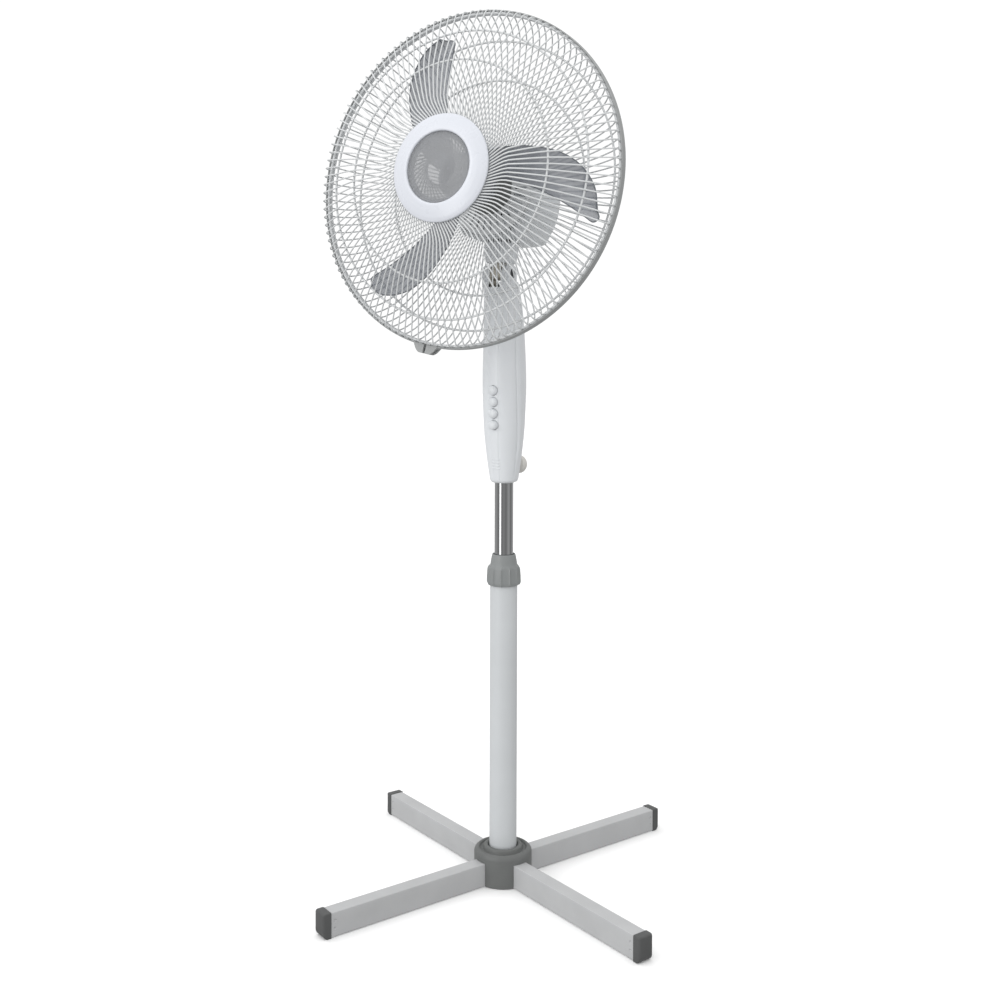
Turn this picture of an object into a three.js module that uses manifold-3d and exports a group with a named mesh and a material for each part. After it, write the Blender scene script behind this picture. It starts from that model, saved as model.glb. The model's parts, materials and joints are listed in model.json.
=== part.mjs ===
// A pedestal fan on a crossed-bar base, in millimetres, +Z up.
// The origin is on the floor at the foot of the pole. The fan blows towards -Y.
import * as THREE from 'three';
import { mergeVertices } from 'three/addons/utils/BufferGeometryUtils.js';
import Module from 'manifold-3d';

const wasm = await Module();
wasm.setup();

// ---------------------------------------------------------------- driving dimensions
const GAP = 0.3;

// base
const BAR_WIDTH = 20;
const BAR_HEIGHT = 30;
const BAR_WALL = 1.5;
const BAR_HALF_LENGTH = 266.3;
const BAR_BOTTOM = 1;
const BAR_ANGLES = [66.36, 156.36];
const CAP_LENGTH = 12;
const CAP_OVERHANG = 0.8;
const CAP_PLUG = 20;
const HUB_RADIUS = 38.5;
const HUB_TOP = 47;
const BASE_SCREW_OFFSET = 25;

// pole, collar and inner tube
const POLE_RADIUS = 18.2;
const POLE_BORE = 16.7;
const POLE_TOP = 400;
const FOOT_PLATE_TOP = 34.4;
const FOOT_SPIGOT_TOP = 52;
const TUBE_RADIUS = 12.5;
const TUBE_BORE = 11.3;
const TUBE_BOTTOM = 150;
const TUBE_TOP = 588;
const COLLAR_BOTTOM = 395.5;
const COLLAR_TOP = 436.5;
const FLUTES = 12;

// control housing: height, half width, half depth and centre line of its sections
const HOUSING_SECTIONS = [
  [532, 13.6, 14.6, 0],
  [534.5, 16.6, 17.8, 0],
  [550, 19.8, 21.4, 0],
  [576, 23.2, 25.4, 0],
  [612, 26.2, 29.2, 0],
  [668, 27.8, 31, 0],
  [730, 26, 28.4, -1.5],
  [770, 23.8, 25.2, -5],
  [797, 21.4, 22.4, -9.5],
];
const HOUSING_WALL = 2.3;
const HOUSING_SQUARENESS = 2.35;
const SEAM_Y = -9;
const FRONT_SHELL_TOP = 789;
const BUTTON_HEIGHTS = [655.1, 640, 624.9, 609.8];
const BUTTON_NAMES = ['push_button_off', 'push_button_low', 'push_button_mid', 'push_button_high'];
const BUTTON_RADIUS = 6.3;
const BUTTON_FACE_Y = -34.6;
const KNOB_HEIGHT = 552;
const KNOB_FACE_Y = 45;
const KNOB_RADIUS = 12.5;

// tilt hinge
const TILT_Y = -14;
const TILT_Z = 808;
const CHEEK_RADIUS = 11;
const CHEEK_HALF_WIDTH = 20;
const BOLT_SEAT = 17;
const SLOT_HALF_WIDTH = 9.3;
const TONGUE_HALF_WIDTH = 6.6;

// head: its own frame has z along the blade axis, forward, and y up
const HEAD_CENTRE = [0, -99, 923.3];
const HEAD_TILT = 7.35;
const RIM_RADIUS = 215;
const WIRE = 1.25;
const SPOKES = 12;
const SWIVEL_Z = -100;
const CRANK_THROW = 11.3;
const LINK_ARM = 16;
const LINK_LENGTH = 45.5;
const MOTOR_RADIUS = 61;
const MOTOR_FRONT = -62;
const MOTOR_SPLIT = -92;
const MOTOR_WALL = 2.4;
const SHAFT_RADIUS = 4;
const BLADES = 3;
const BADGE_RADIUS = 67.4;
const BADGE_DISC_RADIUS = 44;
const CLIP_ANGLE = -100.7;

// ---------------------------------------------------------------- materials
const finish = (color, roughness, metalness = 0) =>
  new THREE.MeshStandardMaterial({ color, roughness, metalness });
const LOOKS = {
  leg_paint: finish(0xbfc1c2, 0.45, 0.2),
  pole_paint: finish(0xc8cbce, 0.4, 0.2),
  dark_plastic: finish(0x737576, 0.55),
  cap_plastic: finish(0x606263, 0.6),
  collar_plastic: finish(0x8a8d8d, 0.5),
  chrome: finish(0xd8d8d8, 0.08, 1),
  white_gloss: finish(0xe6e9ec, 0.25),
  button_plastic: finish(0xdde0e3, 0.3),
  wire_paint: finish(0xe1e3e4, 0.4),
  band_plastic: finish(0x9a9c9b, 0.5),
  blade_plastic: finish(0x8f979f, 0.2),
  badge_ring: finish(0xe8ecf2, 0.25),
  badge_disc: finish(0xa8aaac, 0.35, 0.3),
  steel: finish(0xb4b6b8, 0.35, 0.9),
  cast_zinc: finish(0x9b9c9e, 0.5, 0.7),
  laminations: finish(0x6d6f72, 0.5, 0.6),
  bronze: finish(0xb08d57, 0.4, 0.8),
  black_plastic: finish(0x2a2b2d, 0.5),
  gear_plastic: finish(0xd9d3c4, 0.5),
};

// ---------------------------------------------------------------- solids
const radians = THREE.MathUtils.degToRad;
const vector = (x, y, z) => new THREE.Vector3(x, y, z);

// A closed geometry as a solid, with its shared corners merged and its faces pointing out.
function solid(geometry) {
  const bare = geometry.clone();
  bare.deleteAttribute('normal');
  bare.deleteAttribute('uv');
  const merged = mergeVertices(bare, 1e-4);
  const positions = merged.attributes.position.array;
  const corners = merged.index.array;
  const kept = [];
  let volume = 0;
  for (let i = 0; i < corners.length; i += 3) {
    const [a, b, c] = [corners[i], corners[i + 1], corners[i + 2]];
    if (a === b || b === c || c === a) continue;
    kept.push(a, b, c);
    const [p, q, r] = [a, b, c].map((k) => vector(...positions.slice(3 * k, 3 * k + 3)));
    volume += p.dot(q.cross(r));
  }
  if (volume < 0) kept.reverse();
  return new wasm.Manifold(new wasm.Mesh({
    numProp: 3,
    vertProperties: new Float32Array(positions),
    triVerts: new Uint32Array(kept),
  }));
}

const joined = (...solids) => solids.reduce((whole, piece) => whole.add(piece));
const cut = (whole, ...tools) => tools.reduce((rest, tool) => rest.subtract(tool), whole);

function box(x0, x1, y0, y1, z0, z1) {
  const shape = new THREE.BoxGeometry(x1 - x0, y1 - y0, z1 - z0);
  shape.translate((x0 + x1) / 2, (y0 + y1) / 2, (z0 + z1) / 2);
  return solid(shape);
}

// A round bar between two points, tapered when a second radius is given.
function bar(from, to, radius, sides = 16, endRadius = radius) {
  const [start, end] = [vector(...from), vector(...to)];
  const along = end.clone().sub(start);
  const shape = new THREE.CylinderGeometry(endRadius, radius, along.length(), sides);
  shape.applyQuaternion(new THREE.Quaternion().setFromUnitVectors(vector(0, 1, 0), along.normalize()));
  shape.translate(...start.add(end).multiplyScalar(0.5).toArray());
  return solid(shape);
}

// A turned piece about the Z axis from its outline of [radius, height] points.
function turned(outline, sides = 32) {
  const points = outline.map(([r, z]) => new THREE.Vector2(r, z));
  const shape = new THREE.LatheGeometry(points, sides);
  shape.rotateX(Math.PI / 2);
  return solid(shape);
}

// A turned ring: the outline closes on itself.
const ring = (outline, sides = 32) => turned([...outline, outline[0]], sides);

// A plate between two heights from an outline of [x, y] points.
function plate(outline, z0, z1) {
  const shape = new THREE.Shape(outline.map(([x, y]) => new THREE.Vector2(x, y)));
  const slab = new THREE.ExtrudeGeometry(shape, { depth: z1 - z0, bevelEnabled: false });
  slab.translate(0, 0, z0);
  return solid(slab);
}

// A body lofted through closed rings of points, each ring with the same count.
function loft(rings) {
  const count = rings[0].length;
  const positions = rings.flat().flatMap((point) => point.toArray());
  const faces = [];
  for (let level = 0; level + 1 < rings.length; level += 1) {
    for (let k = 0; k < count; k += 1) {
      const [a, b] = [level * count + k, level * count + (k + 1) % count];
      faces.push(a, b, b + count, a, b + count, a + count);
    }
  }
  const last = (rings.length - 1) * count;
  for (let k = 1; k + 1 < count; k += 1) {
    faces.push(0, k + 1, k, last, last + k, last + k + 1);
  }
  const shape = new THREE.BufferGeometry();
  shape.setAttribute('position', new THREE.Float32BufferAttribute(positions, 3));
  shape.setIndex(faces);
  return solid(shape);
}

// A straight-sided wire through points that lie in one plane containing the Z axis.
function wire(outline, angle, half) {
  const [cos, sin] = [Math.cos(radians(angle)), Math.sin(radians(angle))];
  const rings = outline.map(([r, z], i) => {
    const [r0, z0] = outline[Math.max(i - 1, 0)];
    const [r1, z1] = outline[Math.min(i + 1, outline.length - 1)];
    const length = Math.hypot(r1 - r0, z1 - z0);
    const [nr, nz] = [(-(z1 - z0) / length) * half, ((r1 - r0) / length) * half];
    return [[1, -0.6], [-1, -0.6], [0, 1.1]].map(([side, face]) => {
      const radius = r + nr * face;
      return vector(radius * cos - side * half * sin, radius * sin + side * half * cos, z + nz * face);
    });
  });
  return loft(rings);
}

// A wire hoop of round section about the Z axis.
function hoop(radius, height, thickness, sides = 40) {
  const shape = new THREE.TorusGeometry(radius, thickness, 4, sides);
  shape.translate(0, 0, height);
  return solid(shape);
}

const spun = (piece, angle) => piece.rotate([0, 0, angle]);
const copies = (count, make) => Array.from({ length: count }, (_, i) => make(i));

// ---------------------------------------------------------------- the scene graph
const fan = new THREE.Group();
fan.name = 'pedestal_fan';
const head = new THREE.Group();
head.position.set(...HEAD_CENTRE);
head.rotation.x = radians(90 - HEAD_TILT);
fan.add(head);

function node(name, look, piece, parent = fan) {
  const data = piece.getMesh();
  const shape = new THREE.BufferGeometry();
  shape.setAttribute('position', new THREE.BufferAttribute(data.vertProperties, 3));
  shape.setIndex(new THREE.BufferAttribute(data.triVerts, 1));
  const mesh = new THREE.Mesh(shape, LOOKS[look]);
  mesh.name = name;
  parent.add(mesh);
}

// ---------------------------------------------------------------- base
// A bar lies along X here, and is turned to its own direction afterwards.
const BAR_TOP = BAR_BOTTOM + BAR_HEIGHT;
const HALF_WIDTH = BAR_WIDTH / 2;
const LAP = HALF_WIDTH + GAP;
const LAP_Z = BAR_BOTTOM + BAR_HEIGHT / 2;

function baseBar(notchFrom, notchTo) {
  const inside = HALF_WIDTH - BAR_WALL;
  const tube = cut(
    box(-BAR_HALF_LENGTH, BAR_HALF_LENGTH, -HALF_WIDTH, HALF_WIDTH, BAR_BOTTOM, BAR_TOP),
    box(-BAR_HALF_LENGTH - 1, BAR_HALF_LENGTH + 1, -inside, inside, BAR_BOTTOM + BAR_WALL, BAR_TOP - BAR_WALL),
    box(-LAP, LAP, -HALF_WIDTH - 1, HALF_WIDTH + 1, notchFrom, notchTo),
  );
  const screwHole = bar([BASE_SCREW_OFFSET, 0, BAR_TOP - 4], [BASE_SCREW_OFFSET, 0, BAR_TOP + 1], 2.8, 12);
  const access = bar([BASE_SCREW_OFFSET, 0, 0], [BASE_SCREW_OFFSET, 0, BAR_BOTTOM + 3], 5, 16);
  return cut(tube, screwHole, access);
}

function footCap() {
  const top = BAR_TOP + CAP_OVERHANG;
  const side = [[0, 0], [CAP_LENGTH - 5, 0], [CAP_LENGTH - 1.5, 1.6], [CAP_LENGTH, 5],
    [CAP_LENGTH, top - 4], [CAP_LENGTH - 1.2, top - 1.2], [CAP_LENGTH - 4, top], [0, top]];
  const wide = HALF_WIDTH + CAP_OVERHANG;
  const block = plate(side, -wide, wide).rotate([90, 0, 0]);
  const corner = (y) => plate([[CAP_LENGTH - 3.5, y * (wide + 1)], [CAP_LENGTH + 1, y * (wide + 1)],
    [CAP_LENGTH + 1, y * (wide - 4.5)]], -1, top + 1);
  const inside = HALF_WIDTH - BAR_WALL - GAP;
  const plug = box(-CAP_PLUG, 0.5, -inside, inside, BAR_BOTTOM + BAR_WALL + GAP, BAR_TOP - BAR_WALL - GAP);
  const grip = box(-CAP_PLUG - 1, -3, -inside + 2.5, inside - 2.5, BAR_BOTTOM + 6, BAR_TOP - 6);
  return cut(joined(block, plug), corner(1), corner(-1), grip)
    .translate([BAR_HALF_LENGTH + GAP, 0, 0]);
}

function baseScrew() {
  const [x, under] = [BASE_SCREW_OFFSET, BAR_TOP - BAR_WALL - GAP];
  return joined(
    bar([x, 0, under - 3.2], [x, 0, under], 4.2, 12),
    bar([x, 0, under - 0.5], [x, 0, under + 8], 2.4, 12),
  );
}

function hubCover() {
  const outline = [[HUB_RADIUS, 0.8], [HUB_RADIUS, 36], [HUB_RADIUS - 1.2, 40], [HUB_RADIUS - 4, 42.6],
    [31, 43.4], [30.2, 41.6], [26.5, 41.6], [25.2, HUB_TOP], [POLE_RADIUS + GAP, HUB_TOP],
    [POLE_RADIUS + GAP, 38.8], [HUB_RADIUS - 2.4, 37], [HUB_RADIUS - 2.4, 0.8]];
  const reach = HUB_RADIUS + 5;
  const [wide, top] = [HALF_WIDTH + GAP, BAR_TOP + GAP];
  const slots = BAR_ANGLES.map((angle) => spun(box(-reach, reach, -wide, wide, -1, top), angle));
  return cut(ring(outline, 28), ...slots);
}

function poleFoot() {
  const seat = ring([[8, BAR_TOP + GAP], [34, BAR_TOP + GAP], [34, FOOT_PLATE_TOP],
    [POLE_BORE - GAP, FOOT_PLATE_TOP], [POLE_BORE - GAP, FOOT_SPIGOT_TOP], [8, FOOT_SPIGOT_TOP]], 24);
  const holes = BAR_ANGLES.map((angle) => spun(
    bar([BASE_SCREW_OFFSET, 0, BAR_TOP - 1], [BASE_SCREW_OFFSET, 0, FOOT_PLATE_TOP + 1], 2.8, 12), angle));
  return cut(seat, ...holes);
}

node('base_bar_lower', 'leg_paint', spun(baseBar(LAP_Z - GAP, BAR_TOP + 1), BAR_ANGLES[0]));
node('base_bar_upper', 'leg_paint', spun(baseBar(BAR_BOTTOM - 1, LAP_Z), BAR_ANGLES[1]));
BAR_ANGLES.flatMap((angle) => [angle, angle + 180]).forEach((angle, i) => {
  node(`foot_cap_${i + 1}`, 'cap_plastic', spun(footCap(), angle));
});
BAR_ANGLES.forEach((angle, i) => node(`base_screw_${i + 1}`, 'steel', spun(baseScrew(), angle)));
node('base_hub_cover', 'dark_plastic', hubCover());
node('pole_foot', 'cast_zinc', poleFoot());

// ---------------------------------------------------------------- pole, collar and inner tube
const COLLET_BORE = TUBE_RADIUS + GAP;
node('stand_tube', 'pole_paint', ring([[POLE_BORE, FOOT_PLATE_TOP + GAP], [POLE_RADIUS, FOOT_PLATE_TOP + GAP],
  [POLE_RADIUS, POLE_TOP], [POLE_BORE, POLE_TOP]]));
node('collet', 'gear_plastic', ring([[COLLET_BORE, 372], [POLE_BORE - GAP, 372], [POLE_BORE - GAP, POLE_TOP + GAP],
  [POLE_RADIUS + 0.4, POLE_TOP + GAP], [POLE_RADIUS + 0.4, POLE_TOP + 3], [17.2, POLE_TOP + 3],
  [17.2, POLE_TOP + 19], [14.2, POLE_TOP + 29], [COLLET_BORE, POLE_TOP + 29]], 24));

function collarNut() {
  const outline = [[21.2, 0, 0], [23, 4, 0], [22.9, 7, 1.3], [22.2, 18, 1.3], [21.3, 25, 0.4], [18.9, 28, 0],
    [16.6, 38.8, 0], [15, COLLAR_TOP - COLLAR_BOTTOM, 0]];
  const body = loft(outline.map(([radius, rise, flute]) => copies(2 * FLUTES, (k) => {
    const angle = (Math.PI * k) / FLUTES;
    const reach = radius - (k % 2) * flute;
    return vector(reach * Math.cos(angle), reach * Math.sin(angle), COLLAR_BOTTOM + rise);
  })));
  const bore = TUBE_RADIUS + 2 * GAP;
  return body.subtract(turned([[0, COLLAR_BOTTOM - 1], [19, COLLAR_BOTTOM - 1], [19, POLE_TOP + 3.4],
    [17.6, POLE_TOP + 3.4], [17.6, POLE_TOP + 19.4], [14.6, POLE_TOP + 29.4], [bore, POLE_TOP + 30.5],
    [bore, COLLAR_TOP + 1], [0, COLLAR_TOP + 1]], 20));
}

node('collar_nut', 'collar_plastic', collarNut());
node('tube_guide_bush', 'gear_plastic', ring([[9.5, TUBE_BOTTOM - 4], [POLE_BORE - GAP, TUBE_BOTTOM - 4],
  [POLE_BORE - GAP, TUBE_BOTTOM + 22], [COLLET_BORE, TUBE_BOTTOM + 22], [COLLET_BORE, TUBE_BOTTOM - GAP],
  [9.5, TUBE_BOTTOM - GAP]], 24));
node('inner_tube', 'chrome', ring([[TUBE_BORE, TUBE_BOTTOM], [TUBE_RADIUS, TUBE_BOTTOM],
  [TUBE_RADIUS, TUBE_TOP], [TUBE_BORE, TUBE_TOP]]));

// ---------------------------------------------------------------- control housing
// One level section of the housing, a rounded rectangle that is almost an ellipse.
function section([z, halfWidth, halfDepth, centre], inset, sides = 20) {
  const power = 2 / HOUSING_SQUARENESS;
  return copies(sides, (k) => {
    const angle = ((k + 0.5) * 2 * Math.PI) / sides;
    const [cos, sin] = [Math.cos(angle), Math.sin(angle)];
    return vector(
      (halfWidth - inset) * Math.sign(cos) * Math.abs(cos) ** power,
      centre + (halfDepth - inset) * Math.sign(sin) * Math.abs(sin) ** power,
      z,
    );
  });
}

function housingShell() {
  const outside = loft(HOUSING_SECTIONS.map((row) => section(row, 0)));
  const inner = HOUSING_SECTIONS.slice(1).map((row) => section(row, HOUSING_WALL));
  inner[inner.length - 1].forEach((point) => point.setZ(point.z - HOUSING_WALL));
  const mouth = bar([0, 0, 526], [0, 0, 545], TUBE_RADIUS + 2 * GAP, 24);
  return cut(outside, loft(inner), mouth);
}

// The two cheeks at the top, which hold the tilt bolt.
function cheeks() {
  const across = bar([-CHEEK_HALF_WIDTH, TILT_Y, TILT_Z], [CHEEK_HALF_WIDTH, TILT_Y, TILT_Z], CHEEK_RADIUS, 24);
  const stem = box(-CHEEK_HALF_WIDTH, CHEEK_HALF_WIDTH, TILT_Y - CHEEK_RADIUS + 0.2, TILT_Y + CHEEK_RADIUS - 0.2,
    794, TILT_Z);
  const seats = [1, -1].map((side) => bar([side * BOLT_SEAT, TILT_Y, TILT_Z], [side * 24, TILT_Y, TILT_Z], 6.6, 20));
  return cut(joined(across, stem), ...seats);
}

const tiltHole = (radius) => bar([-30, TILT_Y, TILT_Z], [30, TILT_Y, TILT_Z], radius, 16);
const behindSeam = box(-60, 60, SEAM_Y + GAP / 2, 80, 500, FRONT_SHELL_TOP + GAP);
const aboveFront = box(-60, 60, -80, 80, FRONT_SHELL_TOP + GAP, 900);
const beforeSeam = box(-60, 60, -80, SEAM_Y - GAP / 2, 500, FRONT_SHELL_TOP);
const HOUSING_SCREWS = [[596, 28.2], [752, 23.6]];

function frontShell() {
  const bosses = HOUSING_SCREWS.map(([z]) => bar([0, -40, z], [0, 2, z], 4, 12));
  const bores = HOUSING_SCREWS.map(([z]) => bar([0, -14, z], [0, 3, z], 1.9, 10));
  const holes = BUTTON_HEIGHTS.map((z) => bar([0, -50, z], [0, -24, z], BUTTON_RADIUS + 0.4, 16));
  const inner = loft(HOUSING_SECTIONS.map((row) => section(row, HOUSING_WALL / 2)));
  const keptBosses = bosses.map((boss) => boss.intersect(inner));
  return cut(joined(housingShell().intersect(beforeSeam), ...keptBosses), ...bores, ...holes);
}

function rearShell() {
  const kept = housingShell().intersect(behindSeam.add(aboveFront));
  const slot = box(-SLOT_HALF_WIDTH, SLOT_HALF_WIDTH, -40, 4, 790, 830);
  const knobHole = bar([0, 12, KNOB_HEIGHT], [0, 40, KNOB_HEIGHT], 3.5, 12);
  const glandHole = bar([0, 10, 582], [0, 40, 582], 4.4, 12);
  const screwHoles = HOUSING_SCREWS.map(([z]) => bar([0, 5, z], [0, 50, z], 2.1, 12));
  return cut(joined(kept, cheeks()), slot, tiltHole(3.4), knobHole, glandHole, ...screwHoles);
}

function pushButton(z) {
  const dome = turned([[0, 0], [BUTTON_RADIUS, 0], [BUTTON_RADIUS, 9.4], [BUTTON_RADIUS - 0.6, 11],
    [BUTTON_RADIUS - 2.4, 12.2], [2.2, 12.8], [0, 13]], 16);
  const stem = bar([0, 0, -2.4], [0, 0, 1], 2, 8);
  return joined(dome, stem).rotate([90, 0, 0]).translate([0, BUTTON_FACE_Y + 13, z]);
}

function lockKnob() {
  const grip = turned([[0, 0], [8, 0], [KNOB_RADIUS - 0.6, 1.4], [KNOB_RADIUS, 4], [KNOB_RADIUS, 9],
    [KNOB_RADIUS - 1.4, 12], [8, 13.2], [0, 13.6]], 20);
  const stem = bar([0, 0, -18], [0, 0, 1], 3, 12);
  const neck = bar([0, 0, -7.5], [0, 0, 1], 6.5, 16);
  return joined(grip, neck, stem).rotate([-90, 0, 0]).translate([0, KNOB_FACE_Y - 13.6, KNOB_HEIGHT]);
}

function cordGland() {
  const outline = [[2.2, 0], [6.4, 0], [6.4, 2], [4, 2.1], [4, 6.1], [6.4, 6.2], [5.2, 12], [3.4, 14], [2.2, 14]];
  return ring(outline, 12).rotate([-90, 0, 0]).translate([0, 20.8, 582]);
}

function housingScrew([z, back]) {
  return joined(
    bar([0, back, z], [0, back + 1.8, z], 3.6, 12),
    bar([0, -10, z], [0, back + 0.5, z], 1.6, 10),
  );
}

function tubeSocket() {
  const outline = [[COLLET_BORE, 546], [15.4, 546], [15.4, TUBE_TOP + 3], [6, TUBE_TOP + 3], [6, TUBE_TOP + GAP],
    [COLLET_BORE, TUBE_TOP + GAP]];
  return cut(ring(outline, 24), bar([0, 5, KNOB_HEIGHT], [0, 30, KNOB_HEIGHT], 3.3, 12));
}

function tiltBracket() {
  const [outer, inner] = [SLOT_HALF_WIDTH - GAP, SLOT_HALF_WIDTH - 2.1];
  const ears = bar([-outer, TILT_Y, TILT_Z], [outer, TILT_Y, TILT_Z], 9, 16);
  const stem = box(-outer, outer, TILT_Y - 8.9, TILT_Y + 8.9, 772, TILT_Z);
  return cut(joined(ears, stem), box(-inner, inner, -40, 20, 775, 830), tiltHole(3.4));
}

function tiltBolt() {
  return joined(
    bar([BOLT_SEAT + GAP, TILT_Y, TILT_Z], [BOLT_SEAT + 3, TILT_Y, TILT_Z], 5.6, 16, 4.4),
    bar([-BOLT_SEAT - 3.6, TILT_Y, TILT_Z], [BOLT_SEAT + 1, TILT_Y, TILT_Z], 3, 12),
  );
}

node('housing_front', 'white_gloss', frontShell());
node('housing_rear', 'white_gloss', rearShell());
BUTTON_HEIGHTS.forEach((z, i) => node(BUTTON_NAMES[i], 'button_plastic', pushButton(z)));
node('lock_knob', 'white_gloss', lockKnob());
node('cord_gland', 'black_plastic', cordGland());
node('switch_block', 'black_plastic', box(-10, 10, -15, -3.5, 602.5, 664));
node('capacitor', 'gear_plastic', box(-9, 9, -10, 9, 690, 728));
HOUSING_SCREWS.forEach((place, i) => node(`housing_screw_${i + 1}`, 'steel', housingScrew(place)));
node('tube_socket', 'gear_plastic', tubeSocket());
node('tilt_bracket', 'steel', tiltBracket());
node('tilt_bolt', 'steel', tiltBolt());
node('tilt_nut', 'steel', cut(
  bar([-BOLT_SEAT - 4.4, TILT_Y, TILT_Z], [-BOLT_SEAT - GAP, TILT_Y, TILT_Z], 5.2, 6),
  tiltHole(3 + GAP)));

// ---------------------------------------------------------------- tilting neck, in the head's frame
const toHead = (y, z) => {
  const point = vector(0, y - HEAD_CENTRE[1], z - HEAD_CENTRE[2]);
  point.applyAxisAngle(vector(1, 0, 0), -radians(90 - HEAD_TILT));
  return point;
};
const TILT = toHead(TILT_Y, TILT_Z);
const NECK_TOP = -64.5;
const LINK_BOTTOM = -55;
const LINK_TOP = -52;
// Turned pieces that stand on the swivel axis: their own z becomes the head's y.
const standing = (piece, x = 0, z = SWIVEL_Z) => piece.rotate([-90, 0, 0]).translate([x, 0, z]);

function neck() {
  const skirt = standing(turned([[0, -90.5], [17.5, -90.5], [20.6, -88], [22.2, -78], [22.6, NECK_TOP - 1],
    [21.8, NECK_TOP], [0, NECK_TOP]], 28));
  const tongue = joined(
    bar([-TONGUE_HALF_WIDTH, TILT.y, TILT.z], [TONGUE_HALF_WIDTH, TILT.y, TILT.z], 9.5, 20),
    box(-TONGUE_HALF_WIDTH, TONGUE_HALF_WIDTH, TILT.y, -85, TILT.z - 8, TILT.z + 8),
  );
  const post = bar([LINK_ARM, NECK_TOP - 1, SWIVEL_Z], [LINK_ARM, LINK_BOTTOM + 2.4, SWIVEL_Z], 2.2, 10);
  const boltHole = bar([-30, TILT.y, TILT.z], [30, TILT.y, TILT.z], 3.3, 16);
  const pinHole = bar([0, NECK_TOP - 16, SWIVEL_Z], [0, NECK_TOP + 1, SWIVEL_Z], 4.3, 16);
  return cut(joined(skirt, tongue, post), boltHole, pinHole);
}

node('tilt_neck', 'white_gloss', neck(), head);
node('swivel_pin', 'steel', bar([0, NECK_TOP - 15, SWIVEL_Z], [0, -47.2, SWIVEL_Z], 4, 16), head);

// ---------------------------------------------------------------- motor
// The casing's section: round above, with a flat-bottomed skirt below.
function casing(scale, z, inset = 0) {
  const radius = MOTOR_RADIUS * scale - inset;
  const round = copies(13, (k) => {
    const angle = (Math.PI * k) / 12;
    return vector(radius * Math.cos(angle), radius * Math.sin(angle), z);
  });
  const skirt = [[-59, -28], [-46, -50], [-36, -61.5], [36, -61.5], [46, -50], [59, -28]];
  const lower = skirt.map(([x, y]) => vector(
    x * scale * (1 - inset / 60), y * (0.7 + 0.3 * scale) * (1 - inset / 60), z));
  return [...round, ...lower];
}

const swivelMouth = bar([0, -80, SWIVEL_Z], [0, -52, SWIVEL_Z], 21, 28);
const FRONT_VENTS = 14;

function frontCover() {
  const outside = loft([casing(0.93, MOTOR_FRONT), casing(0.985, MOTOR_FRONT - 3), casing(1, MOTOR_FRONT - 8),
    casing(1, MOTOR_SPLIT)]);
  const inside = loft([casing(0.97, MOTOR_FRONT - MOTOR_WALL, MOTOR_WALL), casing(1, MOTOR_FRONT - 8, MOTOR_WALL),
    casing(1, MOTOR_SPLIT - 1, MOTOR_WALL)]);
  const nose = bar([0, 0, MOTOR_FRONT - 1], [0, 0, -44], 14, 24);
  const bore = bar([0, 0, MOTOR_FRONT - 6], [0, 0, -40], 9, 20);
  const vents = copies(FRONT_VENTS, (i) => spun(
    box(30, 50, -2, 2, MOTOR_FRONT - 6, MOTOR_FRONT + 2), (i * 360) / FRONT_VENTS));
  return cut(joined(outside.subtract(inside), nose), bore, swivelMouth, ...vents);
}

function rearCover() {
  const outside = loft([casing(1, MOTOR_SPLIT - GAP), casing(1, -128), casing(0.96, -142), casing(0.86, -158),
    casing(0.68, -170), casing(0.4, -176)]);
  const inside = loft([casing(1, MOTOR_SPLIT + 1, MOTOR_WALL), casing(1, -128, MOTOR_WALL),
    casing(0.96, -142, MOTOR_WALL), casing(0.86, -157, MOTOR_WALL), casing(0.68, -167.5, MOTOR_WALL),
    casing(0.4, -173, MOTOR_WALL)]);
  const slots = [-18, -9, 0, 9, 18].map((x) => box(x - 1.5, x + 1.5, 22, 70, -190, -150));
  const knobHole = bar([KNOB_X, 30, GEAR_Z], [KNOB_X, 80, GEAR_Z], 3.6, 12);
  const screwHole = bar([0, 0, -180], [0, 0, -165], 2.3, 12);
  return cut(outside.subtract(inside), swivelMouth, knobHole, screwHole, ...slots);
}

const GEAR_Z = SWIVEL_Z - LINK_LENGTH;
const WHEEL_RADIUS = 10.5;
const WORM_RADIUS = 3.4;
const KNOB_X = WORM_RADIUS + WHEEL_RADIUS + GAP;
const CRANK_X = LINK_ARM - CRANK_THROW;
const WHEEL_TEETH = 20;

function wormWheel() {
  const outline = copies(WHEEL_TEETH * 2, (k) => {
    const radius = WHEEL_RADIUS - (k % 2) * 1.1;
    const angle = (Math.PI * (k + 1)) / WHEEL_TEETH;
    return [radius * Math.cos(angle), radius * Math.sin(angle)];
  });
  const disc = plate(outline, -4, 4);
  return standing(disc.subtract(bar([0, 0, -5], [0, 0, 5], 3.3, 12)), KNOB_X, GEAR_Z);
}

// The gear case is open underneath and on the side of the motor.
function gearCase() {
  const [left, right] = [-9, KNOB_X + WHEEL_RADIUS + 3];
  const [back, front] = [GEAR_Z - WHEEL_RADIUS - 3, REAR_BELL - 4];
  const block = box(left, right, -24, 12, back, front);
  const room = box(left + 2, right - 2, -8, 7, back + 2, front + 5);
  const shaftHole = bar([0, 0, -200], [0, 0, back + 5], SHAFT_RADIUS + GAP, 16);
  const crankHole = bar([CRANK_X, -30, GEAR_Z], [CRANK_X, -12, GEAR_Z], 3.3, 12);
  const stemHole = bar([KNOB_X, -7, GEAR_Z], [KNOB_X, 20, GEAR_Z], 3.3, 12);
  const floorHole = bar([KNOB_X, -30, GEAR_Z], [KNOB_X, -5, GEAR_Z], 3.3, 12);
  return cut(block, room, shaftHole, crankHole, stemHole, floorHole);
}

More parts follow.
